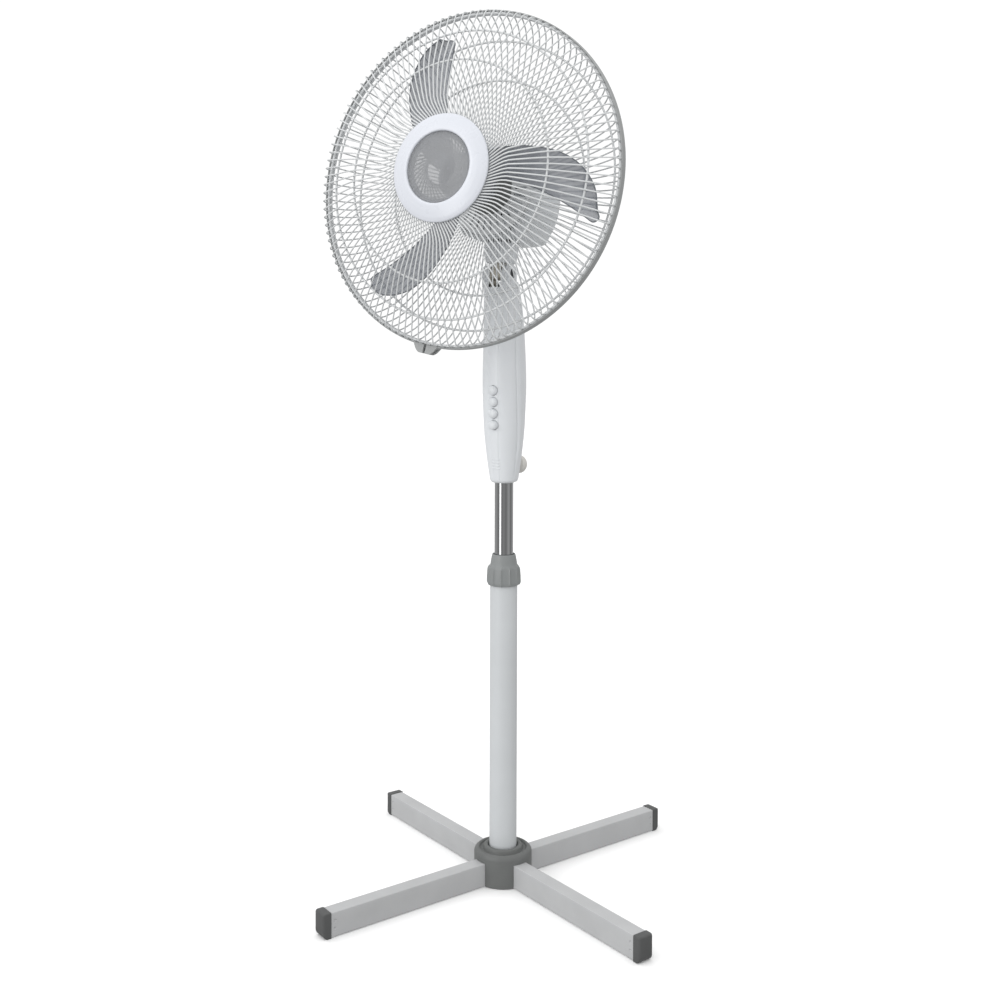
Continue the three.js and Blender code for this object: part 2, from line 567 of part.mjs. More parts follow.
function crank() {
  const [bottom, top] = [LINK_TOP + 0.9, LINK_TOP + 3.9];
  return joined(
    standing(turned([[0, bottom], [13.6, bottom], [13.6, top], [3, top], [3, -13], [0, -13]], 20),
      CRANK_X, GEAR_Z),
    bar([LINK_ARM, LINK_TOP + 0.4, GEAR_Z], [LINK_ARM, bottom + 1, GEAR_Z], 2.2, 10),
  );
}

function linkRod() {
  const eye = (z, radius) => bar([LINK_ARM, LINK_BOTTOM, z], [LINK_ARM, LINK_TOP, z], radius, 16);
  const strip = box(LINK_ARM - 2.3, LINK_ARM + 2.3, LINK_BOTTOM, LINK_TOP, GEAR_Z, SWIVEL_Z);
  const hole = (z) => bar([LINK_ARM, LINK_BOTTOM - 1, z], [LINK_ARM, LINK_TOP + 1, z], 2.5, 10);
  return cut(joined(eye(GEAR_Z, 5), eye(SWIVEL_Z, 4.4), strip), hole(GEAR_Z), hole(SWIVEL_Z));
}

function swivelKnob() {
  return standing(turned([[0, 7], [3, 7], [3, 59.6], [7, 59.6], [8.4, 61], [9, 71], [7.6, 73], [0, 73.6]], 16),
    KNOB_X, GEAR_Z);
}

const BELL_RADIUS = 46;

// A bearing bracket: a cup that closes one end of the stator.
function endBell(face, rim, seat) {
  const [outerSide, thick] = [Math.sign(face - rim), 3];
  const depth = (distance) => face - outerSide * distance;
  return ring([[seat + GAP, depth(-3)], [seat + 4, depth(-3)], [seat + 5, depth(0)], [BELL_RADIUS - 4, depth(0)],
    [BELL_RADIUS, depth(4)], [BELL_RADIUS, rim], [BELL_RADIUS - thick, rim], [BELL_RADIUS - thick, depth(5)],
    [seat + 5, depth(thick)], [seat + 5, depth(9)], [seat + GAP, depth(9)]], 20);
}

const FRONT_BELL = -68.5;
const REAR_BELL = -131;
const STATOR = [-84, -116];
const BUSH_RADIUS = 8;

function bush(from, to) {
  return ring([[SHAFT_RADIUS + GAP, from], [BUSH_RADIUS, from], [BUSH_RADIUS, to], [SHAFT_RADIUS + GAP, to]], 20);
}

function stator() {
  const core = ring([[24, STATOR[1]], [BELL_RADIUS, STATOR[1]], [BELL_RADIUS, STATOR[0]], [24, STATOR[0]]], 24);
  const coils = (from, to) => ring([[26, from], [39, from], [39, to], [26, to]], 16);
  return joined(core, coils(STATOR[1] - 7, STATOR[1] + 1), coils(STATOR[0] - 1, STATOR[0] + 6));
}

// The bracket under the stator that carries the head on the swivel pin.
function swivelBracket() {
  const boss = standing(ring([[4.3, -61], [8.2, -61], [8.2, -48], [4.3, -48]], 20));
  const seat = box(-24, 24, -50.5, -46, -128, -72);
  const clear = bar([0, 0, -200], [0, 0, 0], BELL_RADIUS + GAP, 40);
  const pinHole = bar([0, -70, SWIVEL_Z], [0, -30, SWIVEL_Z], 4.3, 16);
  return cut(joined(boss, seat), clear, pinHole);
}

node('motor_front_cover', 'white_gloss', frontCover(), head);
node('motor_rear_cover', 'white_gloss', rearCover(), head);
node('stator', 'laminations', stator(), head);
node('front_end_bell', 'cast_zinc', endBell(FRONT_BELL, STATOR[0] + GAP, BUSH_RADIUS), head);
node('rear_end_bell', 'cast_zinc', endBell(REAR_BELL, STATOR[1] - GAP, BUSH_RADIUS), head);
node('front_bearing', 'bronze', bush(FRONT_BELL - 8, FRONT_BELL + 2.5), head);
node('rear_bearing', 'bronze', bush(REAR_BELL - 2.5, REAR_BELL + 8), head);
node('swivel_bracket', 'cast_zinc', swivelBracket(), head);
node('gear_case', 'cast_zinc', gearCase(), head);
node('worm_wheel', 'gear_plastic', wormWheel(), head);
node('crank_disc', 'steel', crank(), head);
node('link_rod', 'steel', linkRod(), head);
node('swivel_knob', 'white_gloss', swivelKnob(), head);
node('rear_cover_screw', 'steel', joined(
  bar([0, 0, -179], [0, 0, -176.4], 4, 12),
  bar([0, 0, -177], [0, 0, -166], 2, 10)), head);
node('rotor', 'laminations', ring([[SHAFT_RADIUS + GAP, -117], [23.2, -117], [23.2, -83],
  [SHAFT_RADIUS + GAP, -83]], 20), head);
node('motor_shaft', 'steel', turned([[0, -157], [WORM_RADIUS, -157], [WORM_RADIUS, -137], [SHAFT_RADIUS, -136],
  [SHAFT_RADIUS, 33], [3.2, 34], [0, 34]], 16), head);

// ---------------------------------------------------------------- fan blade
const TIP_RADIUS = 195;
const HUB_OUTER = 31;
const ROOT_RADIUS = HUB_OUTER - 1.5;

// The two edges of the first blade: angle in degrees and height, at a fraction of the span.
const trailingEdge = (t) => [44.5 - 77.9 * t + 44.5 * t ** 2 - 25.5 * t ** 5, 20 - 16 * t];
const leadingEdge = (t) => [0.5 - 21.9 * t + 2.4 * t ** 3, 6 - 23 * t];

function bladeSheet(turn) {
  const [rows, columns, thickness] = [8, 5, 1.8];
  const side = (lift) => copies(columns, (c) => c / (columns - 1)).map((s) => ({ s, lift }));
  const round = (t) => Math.sqrt(Math.max(0, 1 - t ** 60));
  const rings = copies(rows, (row) => {
    const t = 1 - (1 - row / (rows - 1)) ** 1.6;
    const [trail, lead] = [trailingEdge(t), leadingEdge(t)];
    const narrow = 0.4 + 0.6 * round(t);
    const middle = (trail[0] + lead[0]) / 2;
    return [...side(thickness / 2), ...side(-thickness / 2).reverse()].map(({ s, lift }) => {
      const angle = middle + (trail[0] - lead[0]) * (s - 0.5) * narrow;
      const radius = ROOT_RADIUS + (TIP_RADIUS - ROOT_RADIUS) * t;
      const height = lead[1] + (trail[1] - lead[1]) * s - 7 * Math.sin(Math.PI * s) * (1 - 0.4 * t);
      const at = radians(angle + turn);
      return vector(radius * Math.cos(at), radius * Math.sin(at), height + lift);
    });
  });
  return loft(rings);
}

function blade() {
  const cup = ring([[26, 21.5], [HUB_OUTER - 0.6, 17], [HUB_OUTER, -24], [HUB_OUTER - 2.2, -24],
    [HUB_OUTER - 2.4, 16], [25, 19.2], [9, 19.6], [9, -12], [SHAFT_RADIUS + GAP, -12],
    [SHAFT_RADIUS + GAP, 22]], 20);
  const sheets = copies(BLADES, (i) => bladeSheet((i * 360) / BLADES));
  const inside = bar([0, 0, -40], [0, 0, 16.6], HUB_OUTER - 1.2, 20);
  const outer = joined(...sheets).subtract(inside);
  return joined(cup, outer);
}

node('fan_blade', 'blade_plastic', blade(), head);

function bladeNut() {
  const body = ring([[SHAFT_RADIUS + GAP, 22.4], [15, 22.4], [17, 24], [16.4, 30], [12, 37], [7, 38.4],
    [SHAFT_RADIUS + GAP, 38.4]], 18);
  const grooves = copies(6, (i) => spun(bar([18.6, 0, 20], [17.4, 0, 40], 3, 4), i * 60));
  return cut(body, ...grooves);
}

node('blade_nut', 'blade_plastic', bladeNut(), head);

// ---------------------------------------------------------------- guards
const RING_RADIUS = 210.4;
const FRONT_WIRE = [[RING_RADIUS, 1.8], [211, 9], [208.6, 14], [181, 28], [138.5, 48], [64, 58.6]];
const REAR_WIRE = [[RING_RADIUS, -1.8], [211, -9], [207.6, -17], [187, -36], [140, -52], [57, -60.3]];
const wires = (outline) => copies(SPOKES, (i) => wire(outline, (i * 360) / SPOKES, WIRE * 0.9));

function frontGuard() {
  const plateRing = ring([[58, 57.4], [65.5, 57.4], [65.5, 59.6], [58, 59.6]], 24);
  return joined(plateRing, hoop(RING_RADIUS, 1.8, 1.4), hoop(181, 26.8, WIRE), hoop(138.5, 46.8, WIRE),
    ...wires(FRONT_WIRE));
}

function rearGuard() {
  const plateRing = ring([[16.4, -61.7], [60, -61.7], [60, -59.9], [40, -59.9], [38, -58.9], [16.4, -58.9]], 24);
  return joined(plateRing, hoop(RING_RADIUS, -1.8, 1.4), hoop(187, -34.8, WIRE), hoop(140, -50.8, WIRE),
    ...wires(REAR_WIRE));
}

function guardNut() {
  const body = ring([[14.3, -58.5], [33, -58.5], [34, -56.5], [31, -52], [20, -48.5], [19, -45], [14.3, -45]], 18);
  const grips = copies(6, (i) => spun(bar([35.5, 0, -60], [35.5, 0, -44], 4, 4), i * 60));
  return cut(body, ...grips);
}

node('front_guard', 'wire_paint', frontGuard(), head);
node('rear_guard', 'wire_paint', rearGuard(), head);
node('rear_guard_nut', 'dark_plastic', guardNut(), head);

// ---------------------------------------------------------------- rim band, its clip and the badge
function rimBand() {
  const inner = RIM_RADIUS - 1.8;
  const band = ring([[inner, -5.1], [RIM_RADIUS - 0.6, -5.1], [RIM_RADIUS, -4.3],
    [RIM_RADIUS, 4.3], [RIM_RADIUS - 0.6, 5.1], [inner, 5.1]], 44);
  const lug = (side) => plate([[inner + 0.4, side * 1.2], [RIM_RADIUS + 9.6, side * 1.2],
    [RIM_RADIUS + 9.6, side * 8], [RIM_RADIUS + 6.6, side * 12.4], [RIM_RADIUS + 1.6, side * 16],
    [inner - 0.6, side * 18.4], [inner - 1.4, side * 17], [inner - 0.4, side * 9]], -5.8, 5.8);
  const clear = ring([[190, -8], [inner, -8], [inner, 8], [190, 8]], 44);
  const split = box(inner - 4, RIM_RADIUS + 12, -1.7, 1.7, -10, 10);
  const screwHole = bar([RIM_RADIUS + 4.5, -16, 0], [RIM_RADIUS + 4.5, 16, 0], 2, 12);
  const pockets = [-1, 1].map((side) => box(RIM_RADIUS + 1.2, RIM_RADIUS + 12, side > 0 ? 8.4 : -30,
    side > 0 ? 30 : -8.4, -2.9, 2.9));
  return spun(cut(joined(band, cut(joined(lug(1), lug(-1)), clear)), split, screwHole, ...pockets), CLIP_ANGLE);
}

const CLIP_RADIUS = RIM_RADIUS + 4.5;
node('rim_band', 'band_plastic', rimBand(), head);
node('rim_screw', 'steel', spun(joined(
  bar([CLIP_RADIUS, 8.8, 0], [CLIP_RADIUS, 11.2, 0], 2.7, 12),
  bar([CLIP_RADIUS, -11.4, 0], [CLIP_RADIUS, 9, 0], 1.6, 10)), CLIP_ANGLE), head);
node('rim_nut', 'steel', spun(cut(
  bar([CLIP_RADIUS, -11, 0], [CLIP_RADIUS, -8.8, 0], 2.8, 6),
  bar([CLIP_RADIUS, -12, 0], [CLIP_RADIUS, -8, 0], 1.9, 10)), CLIP_ANGLE), head);

node('badge_ring', 'badge_ring', ring([[38, 59.9], [BADGE_RADIUS - 1, 59.9], [BADGE_RADIUS, 60.6],
  [BADGE_RADIUS - 1, 62.6], [58, 65.6], [BADGE_DISC_RADIUS + 2.4, 68.2], [BADGE_DISC_RADIUS + GAP, 67.2],
  [BADGE_DISC_RADIUS + GAP, 62.7], [38, 62.7]], 36), head);
node('badge_disc', 'badge_disc', turned([[0, 63], [BADGE_DISC_RADIUS, 63], [BADGE_DISC_RADIUS, 65.8],
  [BADGE_DISC_RADIUS - 1, 66.6], [0, 68]], 32), head);

export default fan;
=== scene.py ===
"""A white pedestal fan on a crossed-bar base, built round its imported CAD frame.

Shapes are made in millimetres and stored in metres. The head's own frame has z along the
blade axis, forward, and y up; HEAD takes it to the row frame.
"""

import json
from math import acos, asin, copysign, cos, pi, radians, sin, sqrt

import bmesh
import bpy
from mathutils import Matrix, Vector


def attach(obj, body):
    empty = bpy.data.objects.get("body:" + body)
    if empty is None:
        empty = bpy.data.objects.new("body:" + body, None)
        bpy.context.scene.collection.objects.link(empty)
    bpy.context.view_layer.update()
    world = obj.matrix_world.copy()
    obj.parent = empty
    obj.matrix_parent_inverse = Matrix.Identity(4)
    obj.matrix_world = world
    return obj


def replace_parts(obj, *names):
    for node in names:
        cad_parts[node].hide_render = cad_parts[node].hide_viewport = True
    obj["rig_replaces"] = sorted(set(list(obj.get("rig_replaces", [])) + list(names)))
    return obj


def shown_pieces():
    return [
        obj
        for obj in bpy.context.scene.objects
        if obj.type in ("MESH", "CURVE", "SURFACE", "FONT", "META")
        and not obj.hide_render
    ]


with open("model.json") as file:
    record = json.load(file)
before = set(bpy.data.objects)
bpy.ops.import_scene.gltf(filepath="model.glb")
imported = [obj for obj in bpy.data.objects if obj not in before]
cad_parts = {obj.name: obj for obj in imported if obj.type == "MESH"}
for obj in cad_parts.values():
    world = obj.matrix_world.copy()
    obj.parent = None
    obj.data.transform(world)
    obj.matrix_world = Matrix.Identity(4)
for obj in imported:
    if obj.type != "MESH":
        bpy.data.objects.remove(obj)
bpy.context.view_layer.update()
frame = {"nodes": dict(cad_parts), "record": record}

MM = 0.001
IDENTITY = Matrix.Identity(4)

# ------------------------------------------------------------------ camera
CAMERA_PLACE = (812.3, -1444.6, 751.4)
CAMERA_TURN = 29.553
CAMERA_PITCH = 1.741
CAMERA_ROLL = 0.173
FOCAL_SHARE = 1.252
SHIFT_Y = -0.1453

turn, pitch, roll = radians(CAMERA_TURN), radians(CAMERA_PITCH), radians(CAMERA_ROLL)
ahead = Vector((-sin(turn), cos(turn), 0))
right = Vector((cos(turn), sin(turn), 0))
up = Vector((0, 0, 1))
forward = ahead * cos(pitch) - up * sin(pitch)
rise = up * cos(pitch) + ahead * sin(pitch)
camera_right = right * cos(roll) + rise * sin(roll)
camera_up = rise * cos(roll) - right * sin(roll)
camera = bpy.data.objects.new("camera", bpy.data.cameras.new("camera"))
bpy.context.scene.collection.objects.link(camera)
bpy.context.scene.camera = camera
camera.data.sensor_width = 36
camera.data.lens = 36 * FOCAL_SHARE
camera.data.shift_y = SHIFT_Y
camera.data.clip_end = 60
turned_axes = Matrix((camera_right, camera_up, -forward)).transposed()
camera.matrix_world = Matrix.Translation(Vector(CAMERA_PLACE) * MM) @ turned_axes.to_4x4()


# ------------------------------------------------------------------ shapes: (points, faces) in millimetres
def turned(outline, steps=96, closed=False):
    """A turned body about Z from [radius, height] points, which end on the axis or close on themselves."""
    points, faces, rows = [], [], []
    for radius, height in outline:
        count = 1 if radius < 1e-6 else steps
        rows.append([len(points) + k for k in range(count)])
        for k in range(count):
            angle = 2 * pi * k / steps
            points.append(Vector((radius * cos(angle), radius * sin(angle), height)))
    pairs = list(zip(rows, rows[1:]))
    if closed:
        pairs.append((rows[-1], rows[0]))
    for low, high in pairs:
        for k in range(steps):
            j = (k + 1) % steps
            corners = [low[k % len(low)], low[j % len(low)], high[j % len(high)], high[k % len(high)]]
            kept = list(dict.fromkeys(corners))
            if len(kept) > 2:
                faces.append(kept)
    return points, faces


def softened(outline, radius, closed=False, steps=4):
    """The outline with each corner rounded."""
    count = len(outline)
    result = []
    for i, corner in enumerate(outline):
        if not closed and i in (0, count - 1):
            result.append(tuple(corner))
            continue
        here = Vector(corner)
        before = Vector(outline[i - 1]) - here
        after = Vector(outline[(i + 1) % count]) - here
        cut = min(radius, 0.45 * before.length, 0.45 * after.length)
        start, end = here + before.normalized() * cut, here + after.normalized() * cut
        for k in range(steps + 1):
            t = k / steps
            result.append(tuple(start * (1 - t) ** 2 + here * (2 * t * (1 - t)) + end * t ** 2))
    return result


def loft(rings, closed=False):
    """A body through closed rings of points; closed joins the last ring to the first."""
    count = len(rings[0])
    points = [Vector(point) for ring in rings for point in ring]
    faces = []
    levels = len(rings) if closed else len(rings) - 1
    for level in range(levels):
        low, high = level * count, (level + 1) % len(rings) * count
        for k in range(count):
            j = (k + 1) % count
            faces.append([low + k, low + j, high + j, high + k])
    if not closed:
        faces.append(list(range(count))[::-1])
        faces.append(list(range(len(points) - count, len(points))))
    return points, faces


def spline(knots, steps):
    """A smooth curve through points of any dimension."""
    knots = [Vector(knot) for knot in knots]
    full = [knots[0] * 2 - knots[1]] + knots + [knots[-1] * 2 - knots[-2]]
    result = []
    for i in range(1, len(full) - 2):
        a, b, c, d = full[i - 1:i + 3]
        for k in range(steps):
            t = k / steps
            result.append(0.5 * (b * 2 + (c - a) * t + (a * 2 - b * 5 + c * 4 - d) * t ** 2
                                 + (b * 3 - a - c * 3 + d) * t ** 3))
    result.append(knots[-1])
    return result


def wire(path, radius, sides=8):
    """A round wire along a path, with rounded ends."""
    path = [Vector(point) for point in path]
    side = Vector((0, 0, 1))
    rings = []
    for i, point in enumerate(path):
        along = (path[min(i + 1, len(path) - 1)] - path[max(i - 1, 0)]).normalized()
        side = side - along * side.dot(along)
        if side.length < 1e-6:
            side = along.orthogonal()
        side.normalize()
        other = along.cross(side)
        shares = [(0, 1)]
        if i == 0:
            shares = [(-0.7, 0.35), (-0.35, 0.8), (0, 1)]
        if i == len(path) - 1:
            shares = [(0, 1), (0.35, 0.8), (0.7, 0.35)]
        for shift, share in shares:
            rings.append([point + along * radius * shift + (side * cos(2 * pi * k / sides)
                          + other * sin(2 * pi * k / sides)) * radius * share for k in range(sides)])
    return loft(rings)


def hoop(radius, height, thickness, steps=180, sides=10):
    outline = [(radius + thickness * cos(2 * pi * k / sides), height + thickness * sin(2 * pi * k / sides))
               for k in range(sides)]
    return turned(outline, steps, closed=True)


def plate(outline, low, high):
    """A plate between two heights from its outline of (x, y) points."""
    return loft([[(x, y, low) for x, y in outline], [(x, y, high) for x, y in outline]])


def box(x0, x1, y0, y1, z0, z1):
    return plate([(x0, y0), (x1, y0), (x1, y1), (x0, y1)], z0, z1)


def rod(start, end, radius, steps=32, end_radius=None):
    """A straight round bar between two points."""
    start, end = Vector(start), Vector(end)
    body = turned([(0, 0), (radius, 0), (radius if end_radius is None else end_radius, (end - start).length),
                   (0, (end - start).length)], steps)
    return placed(body, Matrix.Translation(start) @ (end - start).to_track_quat("Z", "Y").to_matrix().to_4x4())


def placed(shape, matrix):
    return [matrix @ point for point in shape[0]], shape[1]


def spun(shape, angle):
    return placed(shape, Matrix.Rotation(radians(angle), 4, "Z"))


def together(*shapes):
    points, faces = [], []
    for more_points, more_faces in shapes:
        start = len(points)
        points += more_points
        faces += [[start + corner for corner in face] for face in more_faces]
    return points, faces


def mixed(start, end, share):
    return start + (end - start) * share


def eased(value, start, end):
    """0 before start, 1 after end, smooth between."""
    t = min(1, max(0, (value - start) / (end - start)))
    return t * t * (3 - 2 * t)


# ------------------------------------------------------------------ materials
def linear(level):
    level /= 255
    return level / 12.92 if level <= 0.04045 else ((level + 0.055) / 1.055) ** 2.4


def painted(name, colour, roughness, metallic=0, tone=0.04, tone_size=40, grain=0.02, grain_size=0.6,
            roughness_spread=0.06, coat=0, stretch=(1, 1, 1), alpha=1, stripes=None):
    """A procedural finish: slow tone change, uneven gloss and a fine grain in the surface.

    Sizes are in millimetres. stripes is (size, depth, axis) for laminations or brush lines.
    """
    material = bpy.data.materials.new(name)
    material.use_nodes = True
    nodes, links = material.node_tree.nodes, material.node_tree.links
    shader = nodes["Principled BSDF"]
    base = [linear(level) for level in colour]
    shader.inputs["Metallic"].default_value = metallic
    shader.inputs["Coat Weight"].default_value = coat
    shader.inputs["Coat Roughness"].default_value = 0.12
    shader.inputs["Alpha"].default_value = alpha
    place = nodes.new("ShaderNodeTexCoord")
    scaled = nodes.new("ShaderNodeMapping")
    scaled.inputs["Scale"].default_value = stretch
    links.new(place.outputs["Object"], scaled.inputs["Vector"])

    def noise(size, detail):
        texture = nodes.new("ShaderNodeTexNoise")
        texture.inputs["Scale"].default_value = 1 / (size * MM)
        texture.inputs["Detail"].default_value = detail
        links.new(scaled.outputs["Vector"], texture.inputs["Vector"])
        return texture.outputs["Fac"]

    slow = noise(tone_size, 3)
    ramp = nodes.new("ShaderNodeValToRGB")
    ramp.color_ramp.elements[0].position, ramp.color_ramp.elements[1].position = 0.3, 0.7
    ramp.color_ramp.elements[0].color = [*[channel * (1 - tone) for channel in base], 1]
    ramp.color_ramp.elements[1].color = [*[min(1, channel * (1 + tone)) for channel in base], 1]
    links.new(slow, ramp.inputs["Fac"])
    links.new(ramp.outputs["Color"], shader.inputs["Base Color"])
    gloss = nodes.new("ShaderNodeMapRange")
    gloss.inputs["From Min"].default_value, gloss.inputs["From Max"].default_value = 0.3, 0.7
    gloss.inputs["To Min"].default_value = max(0.02, roughness - roughness_spread)
    gloss.inputs["To Max"].default_value = min(1, roughness + roughness_spread)
    links.new(noise(tone_size * 0.3, 5), gloss.inputs["Value"])
    links.new(gloss.outputs["Result"], shader.inputs["Roughness"])
    height, depth = noise(grain_size, 2), grain
    if stripes:
        size, depth, axis = stripes
        wave = nodes.new("ShaderNodeTexWave")
        wave.bands_direction = axis
        wave.inputs["Scale"].default_value = 1 / (size * MM) / 20 * pi
        wave.inputs["Distortion"].default_value = 0.4
        links.new(scaled.outputs["Vector"], wave.inputs["Vector"])
        height = wave.outputs["Fac"]
    bump = nodes.new("ShaderNodeBump")
    bump.inputs["Strength"].default_value = 1
    bump.inputs["Distance"].default_value = depth * MM
    links.new(height, bump.inputs["Height"])
    links.new(bump.outputs["Normal"], shader.inputs["Normal"])
    return material


LOOKS = {
    "leg_paint": painted("leg_paint", (178, 179, 180), 0.34, grain=0.025, grain_size=0.9, roughness_spread=0.03),
    "pole_paint": painted("pole_paint", (197, 200, 202), 0.4, grain=0.012, grain_size=1.2, tone=0.02,
                          roughness_spread=0.03),
    "dark_plastic": painted("dark_plastic", (104, 106, 105), 0.5, grain=0.04, grain_size=0.5, tone=0.06),
    "cap_plastic": painted("cap_plastic", (82, 83, 83), 0.5, grain=0.05, grain_size=0.5, tone=0.08),
    "collar_plastic": painted("collar_plastic", (136, 139, 139), 0.42, grain=0.03, grain_size=0.5, tone=0.05),
    "chrome": painted("chrome", (190, 191, 192), 0.1, 1, tone=0.02, grain=0.001, grain_size=0.8,
                      roughness_spread=0.03, stretch=(4, 4, 0.2)),
    "white_gloss": painted("white_gloss", (222, 225, 228), 0.32, tone=0.012, grain=0.004, grain_size=1.5,
                           roughness_spread=0.03, coat=0.1),
    "button_plastic": painted("button_plastic", (220, 223, 226), 0.3, tone=0.02, tone_size=6, grain=0.004,
                              coat=0.15),
    "wire_paint": painted("wire_paint", (211, 213, 214), 0.36, tone=0.04, tone_size=25, grain=0.02, grain_size=0.8),
    "band_plastic": painted("band_plastic", (160, 162, 162), 0.44, tone=0.05, grain=0.03, grain_size=0.6),
    "blade_plastic": painted("blade_plastic", (142, 146, 153), 0.22, tone=0.05, tone_size=60, grain=0.004,
                             grain_size=2.5, roughness_spread=0.03, alpha=0.62),
    "badge_ring": painted("badge_ring", (217, 220, 227), 0.28, tone=0.01, grain=0.004, grain_size=1.5,
                          roughness_spread=0.02, coat=0.15),
    "badge_disc": painted("badge_disc", (158, 160, 163), 0.26, tone=0.03, grain=0.006, grain_size=1,
                          roughness_spread=0.03, coat=0.2, alpha=0.54),
    "steel": painted("steel", (170, 172, 175), 0.34, 0.95, tone=0.08, tone_size=3, grain=0.02, grain_size=0.4),
    "cast_zinc": painted("cast_zinc", (155, 156, 158), 0.5, 0.7, tone=0.08, tone_size=8, grain=0.08,
                         grain_size=0.8),
    "laminations": painted("laminations", (109, 111, 114), 0.5, 0.6, tone=0.12, tone_size=3,
                           stripes=(1, 0.2, "Y")),
    "bronze": painted("bronze", (176, 141, 87), 0.42, 0.8, tone=0.1, tone_size=2, grain=0.05, grain_size=0.3),
    "black_plastic": painted("black_plastic", (42, 43, 45), 0.48, tone=0.08, grain=0.04, grain_size=0.4),
    "gear_plastic": painted("gear_plastic", (217, 211, 196), 0.46, tone=0.04, tone_size=5, grain=0.02),
}
ZINC_PLATE = painted("zinc_plate", (208, 203, 190), 0.4, 0.55, tone=0.12, tone_size=4, grain=0.02, grain_size=0.5)
BLADE_EDGE = painted("blade_edge", (112, 116, 122), 0.3, tone=0.05, tone_size=20, grain=0.004)
MOTOR_PLASTIC = painted("motor_plastic", (216, 220, 223), 0.34, tone=0.02, grain=0.006, grain_size=1.5,
                        roughness_spread=0.03)
OFF_WHITE = painted("off_white", (212, 210, 205), 0.36, tone=0.02, tone_size=12, grain=0.006)
DARK_STEEL = painted("dark_steel", (84, 86, 88), 0.36, 0.8, tone=0.1, tone_size=3, grain=0.03, grain_size=0.4)


# ------------------------------------------------------------------ pieces
def new_object(name, shape, place=IDENTITY):
    mesh = bpy.data.meshes.new(name)
    mesh.from_pydata([(place @ point) * MM for point in shape[0]], [], shape[1])
    work = bmesh.new()
    work.from_mesh(mesh)
    bmesh.ops.remove_doubles(work, verts=work.verts, dist=1e-7)
    bmesh.ops.recalc_face_normals(work, faces=work.faces)
    work.to_mesh(mesh)
    work.free()
    made = bpy.data.objects.new(name, mesh)
    bpy.context.scene.collection.objects.link(made)
    return made


def piece(name, shape, body, slot, stands_for, place=IDENTITY, look=None, added=(), removed=(), bevel=0,
          crease=32):
    """One visible piece: its shape, with others joined to it or cut out of it, on its body."""
    made = new_object(name, shape, place)
    tools = []
    for operation, shapes in (("UNION", added), ("DIFFERENCE", removed)):
        for other in shapes:
            tool = new_object("tool", other, place)
            tools.append(tool)
            change = made.modifiers.new("cut", "BOOLEAN")
            change.operation, change.object, change.solver = operation, tool, "EXACT"
    if bevel:
        change = made.modifiers.new("edge", "BEVEL")
        change.width, change.segments, change.limit_method = bevel * MM, 3, "ANGLE"
        change.angle_limit = radians(40)
    if made.modifiers:
        bpy.context.view_layer.update()
        final = bpy.data.meshes.new_from_object(made.evaluated_get(bpy.context.evaluated_depsgraph_get()))
        made.modifiers.clear()
        made.data = final
        final.name = name
    for tool in tools:
        bpy.data.objects.remove(tool)
    made.data.shade_smooth()
    made.data.set_sharp_from_angle(angle=radians(crease))
    made.data.materials.clear()
    made.data.materials.append(look or LOOKS[slot])
    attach(made, body)
    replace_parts(made, *stands_for)
    return made


# ------------------------------------------------------------------ base
BAR_HALF_LENGTH = 266.3
BAR_ANGLES = (66.36, 156.36)
BAR_LOW, BAR_HIGH, BAR_HALF_WIDTH, BAR_WALL = 1, 31, 10, 1.5
HUB_RADIUS, HUB_TOP = 38.5, 47
POLE_RADIUS, POLE_TOP = 18.2, 400
SCREW_OFFSET = 25
CAP_HALF_WIDTH, CAP_TOP, CAP_CORNER, CAP_CHAMFER = 10.8, 31.8, 1.4, 0.3
CAP_SHOULDER, CAP_DOME, CAP_BOTTOM_ROUND, CAP_EDGE_ROUND = 4, 7.3, 9.5, 3.3


def rounded_section(half_width, low, high, corner, steps=5):
    """A rounded rectangle of (y, z) points."""
    points = []
    for cy, cz, start in ((1, 1, 0), (-1, 1, 90), (-1, -1, 180), (1, -1, 270)):
        centre_y = cy * (half_width - corner)
        centre_z = high - corner if cz > 0 else low + corner
        for k in range(steps + 1):
            angle = radians(start + 90 * k / steps)
            points.append((centre_y + corner * cos(angle), centre_z + corner * sin(angle)))
    return points


def base_bar(name, angle, notch_low, notch_high, node):
    outside = rounded_section(BAR_HALF_WIDTH, BAR_LOW, BAR_HIGH, 1.1)
    inside = rounded_section(BAR_HALF_WIDTH - BAR_WALL, BAR_LOW + BAR_WALL, BAR_HIGH - BAR_WALL, 0.5)
    end = BAR_HALF_LENGTH
    rings = [[(x, y, z) for y, z in section] for x, section in
             ((-end, inside), (-end, outside), (end, outside), (end, inside))]
    notch = box(-10.3, 10.3, -12, 12, notch_low, notch_high)
    hole = rod((SCREW_OFFSET, 0, BAR_HIGH - 4), (SCREW_OFFSET, 0, BAR_HIGH + 1), 2.8)
    access = rod((SCREW_OFFSET, 0, 0), (SCREW_OFFSET, 0, BAR_LOW + 3), 5)
    dimples = []
    for x_side in (-1, 1):
        for y_side in (-1, 1):
            for height in (11, 21):
                pit = turned([(0, -2.6), (1.84, -1.84), (2.6, 0), (1.84, 1.84), (0, 2.6)], 20)
                dimples.append(placed(pit, Matrix.Translation((x_side * (end - 5), y_side * 11.3, height))))
    turned_bar = spun(loft(rings, closed=True), angle)
    removed = spun(together(notch, hole, access, *dimples), angle)
    piece(name, turned_bar, "base", "leg_paint", [node], removed=[removed])


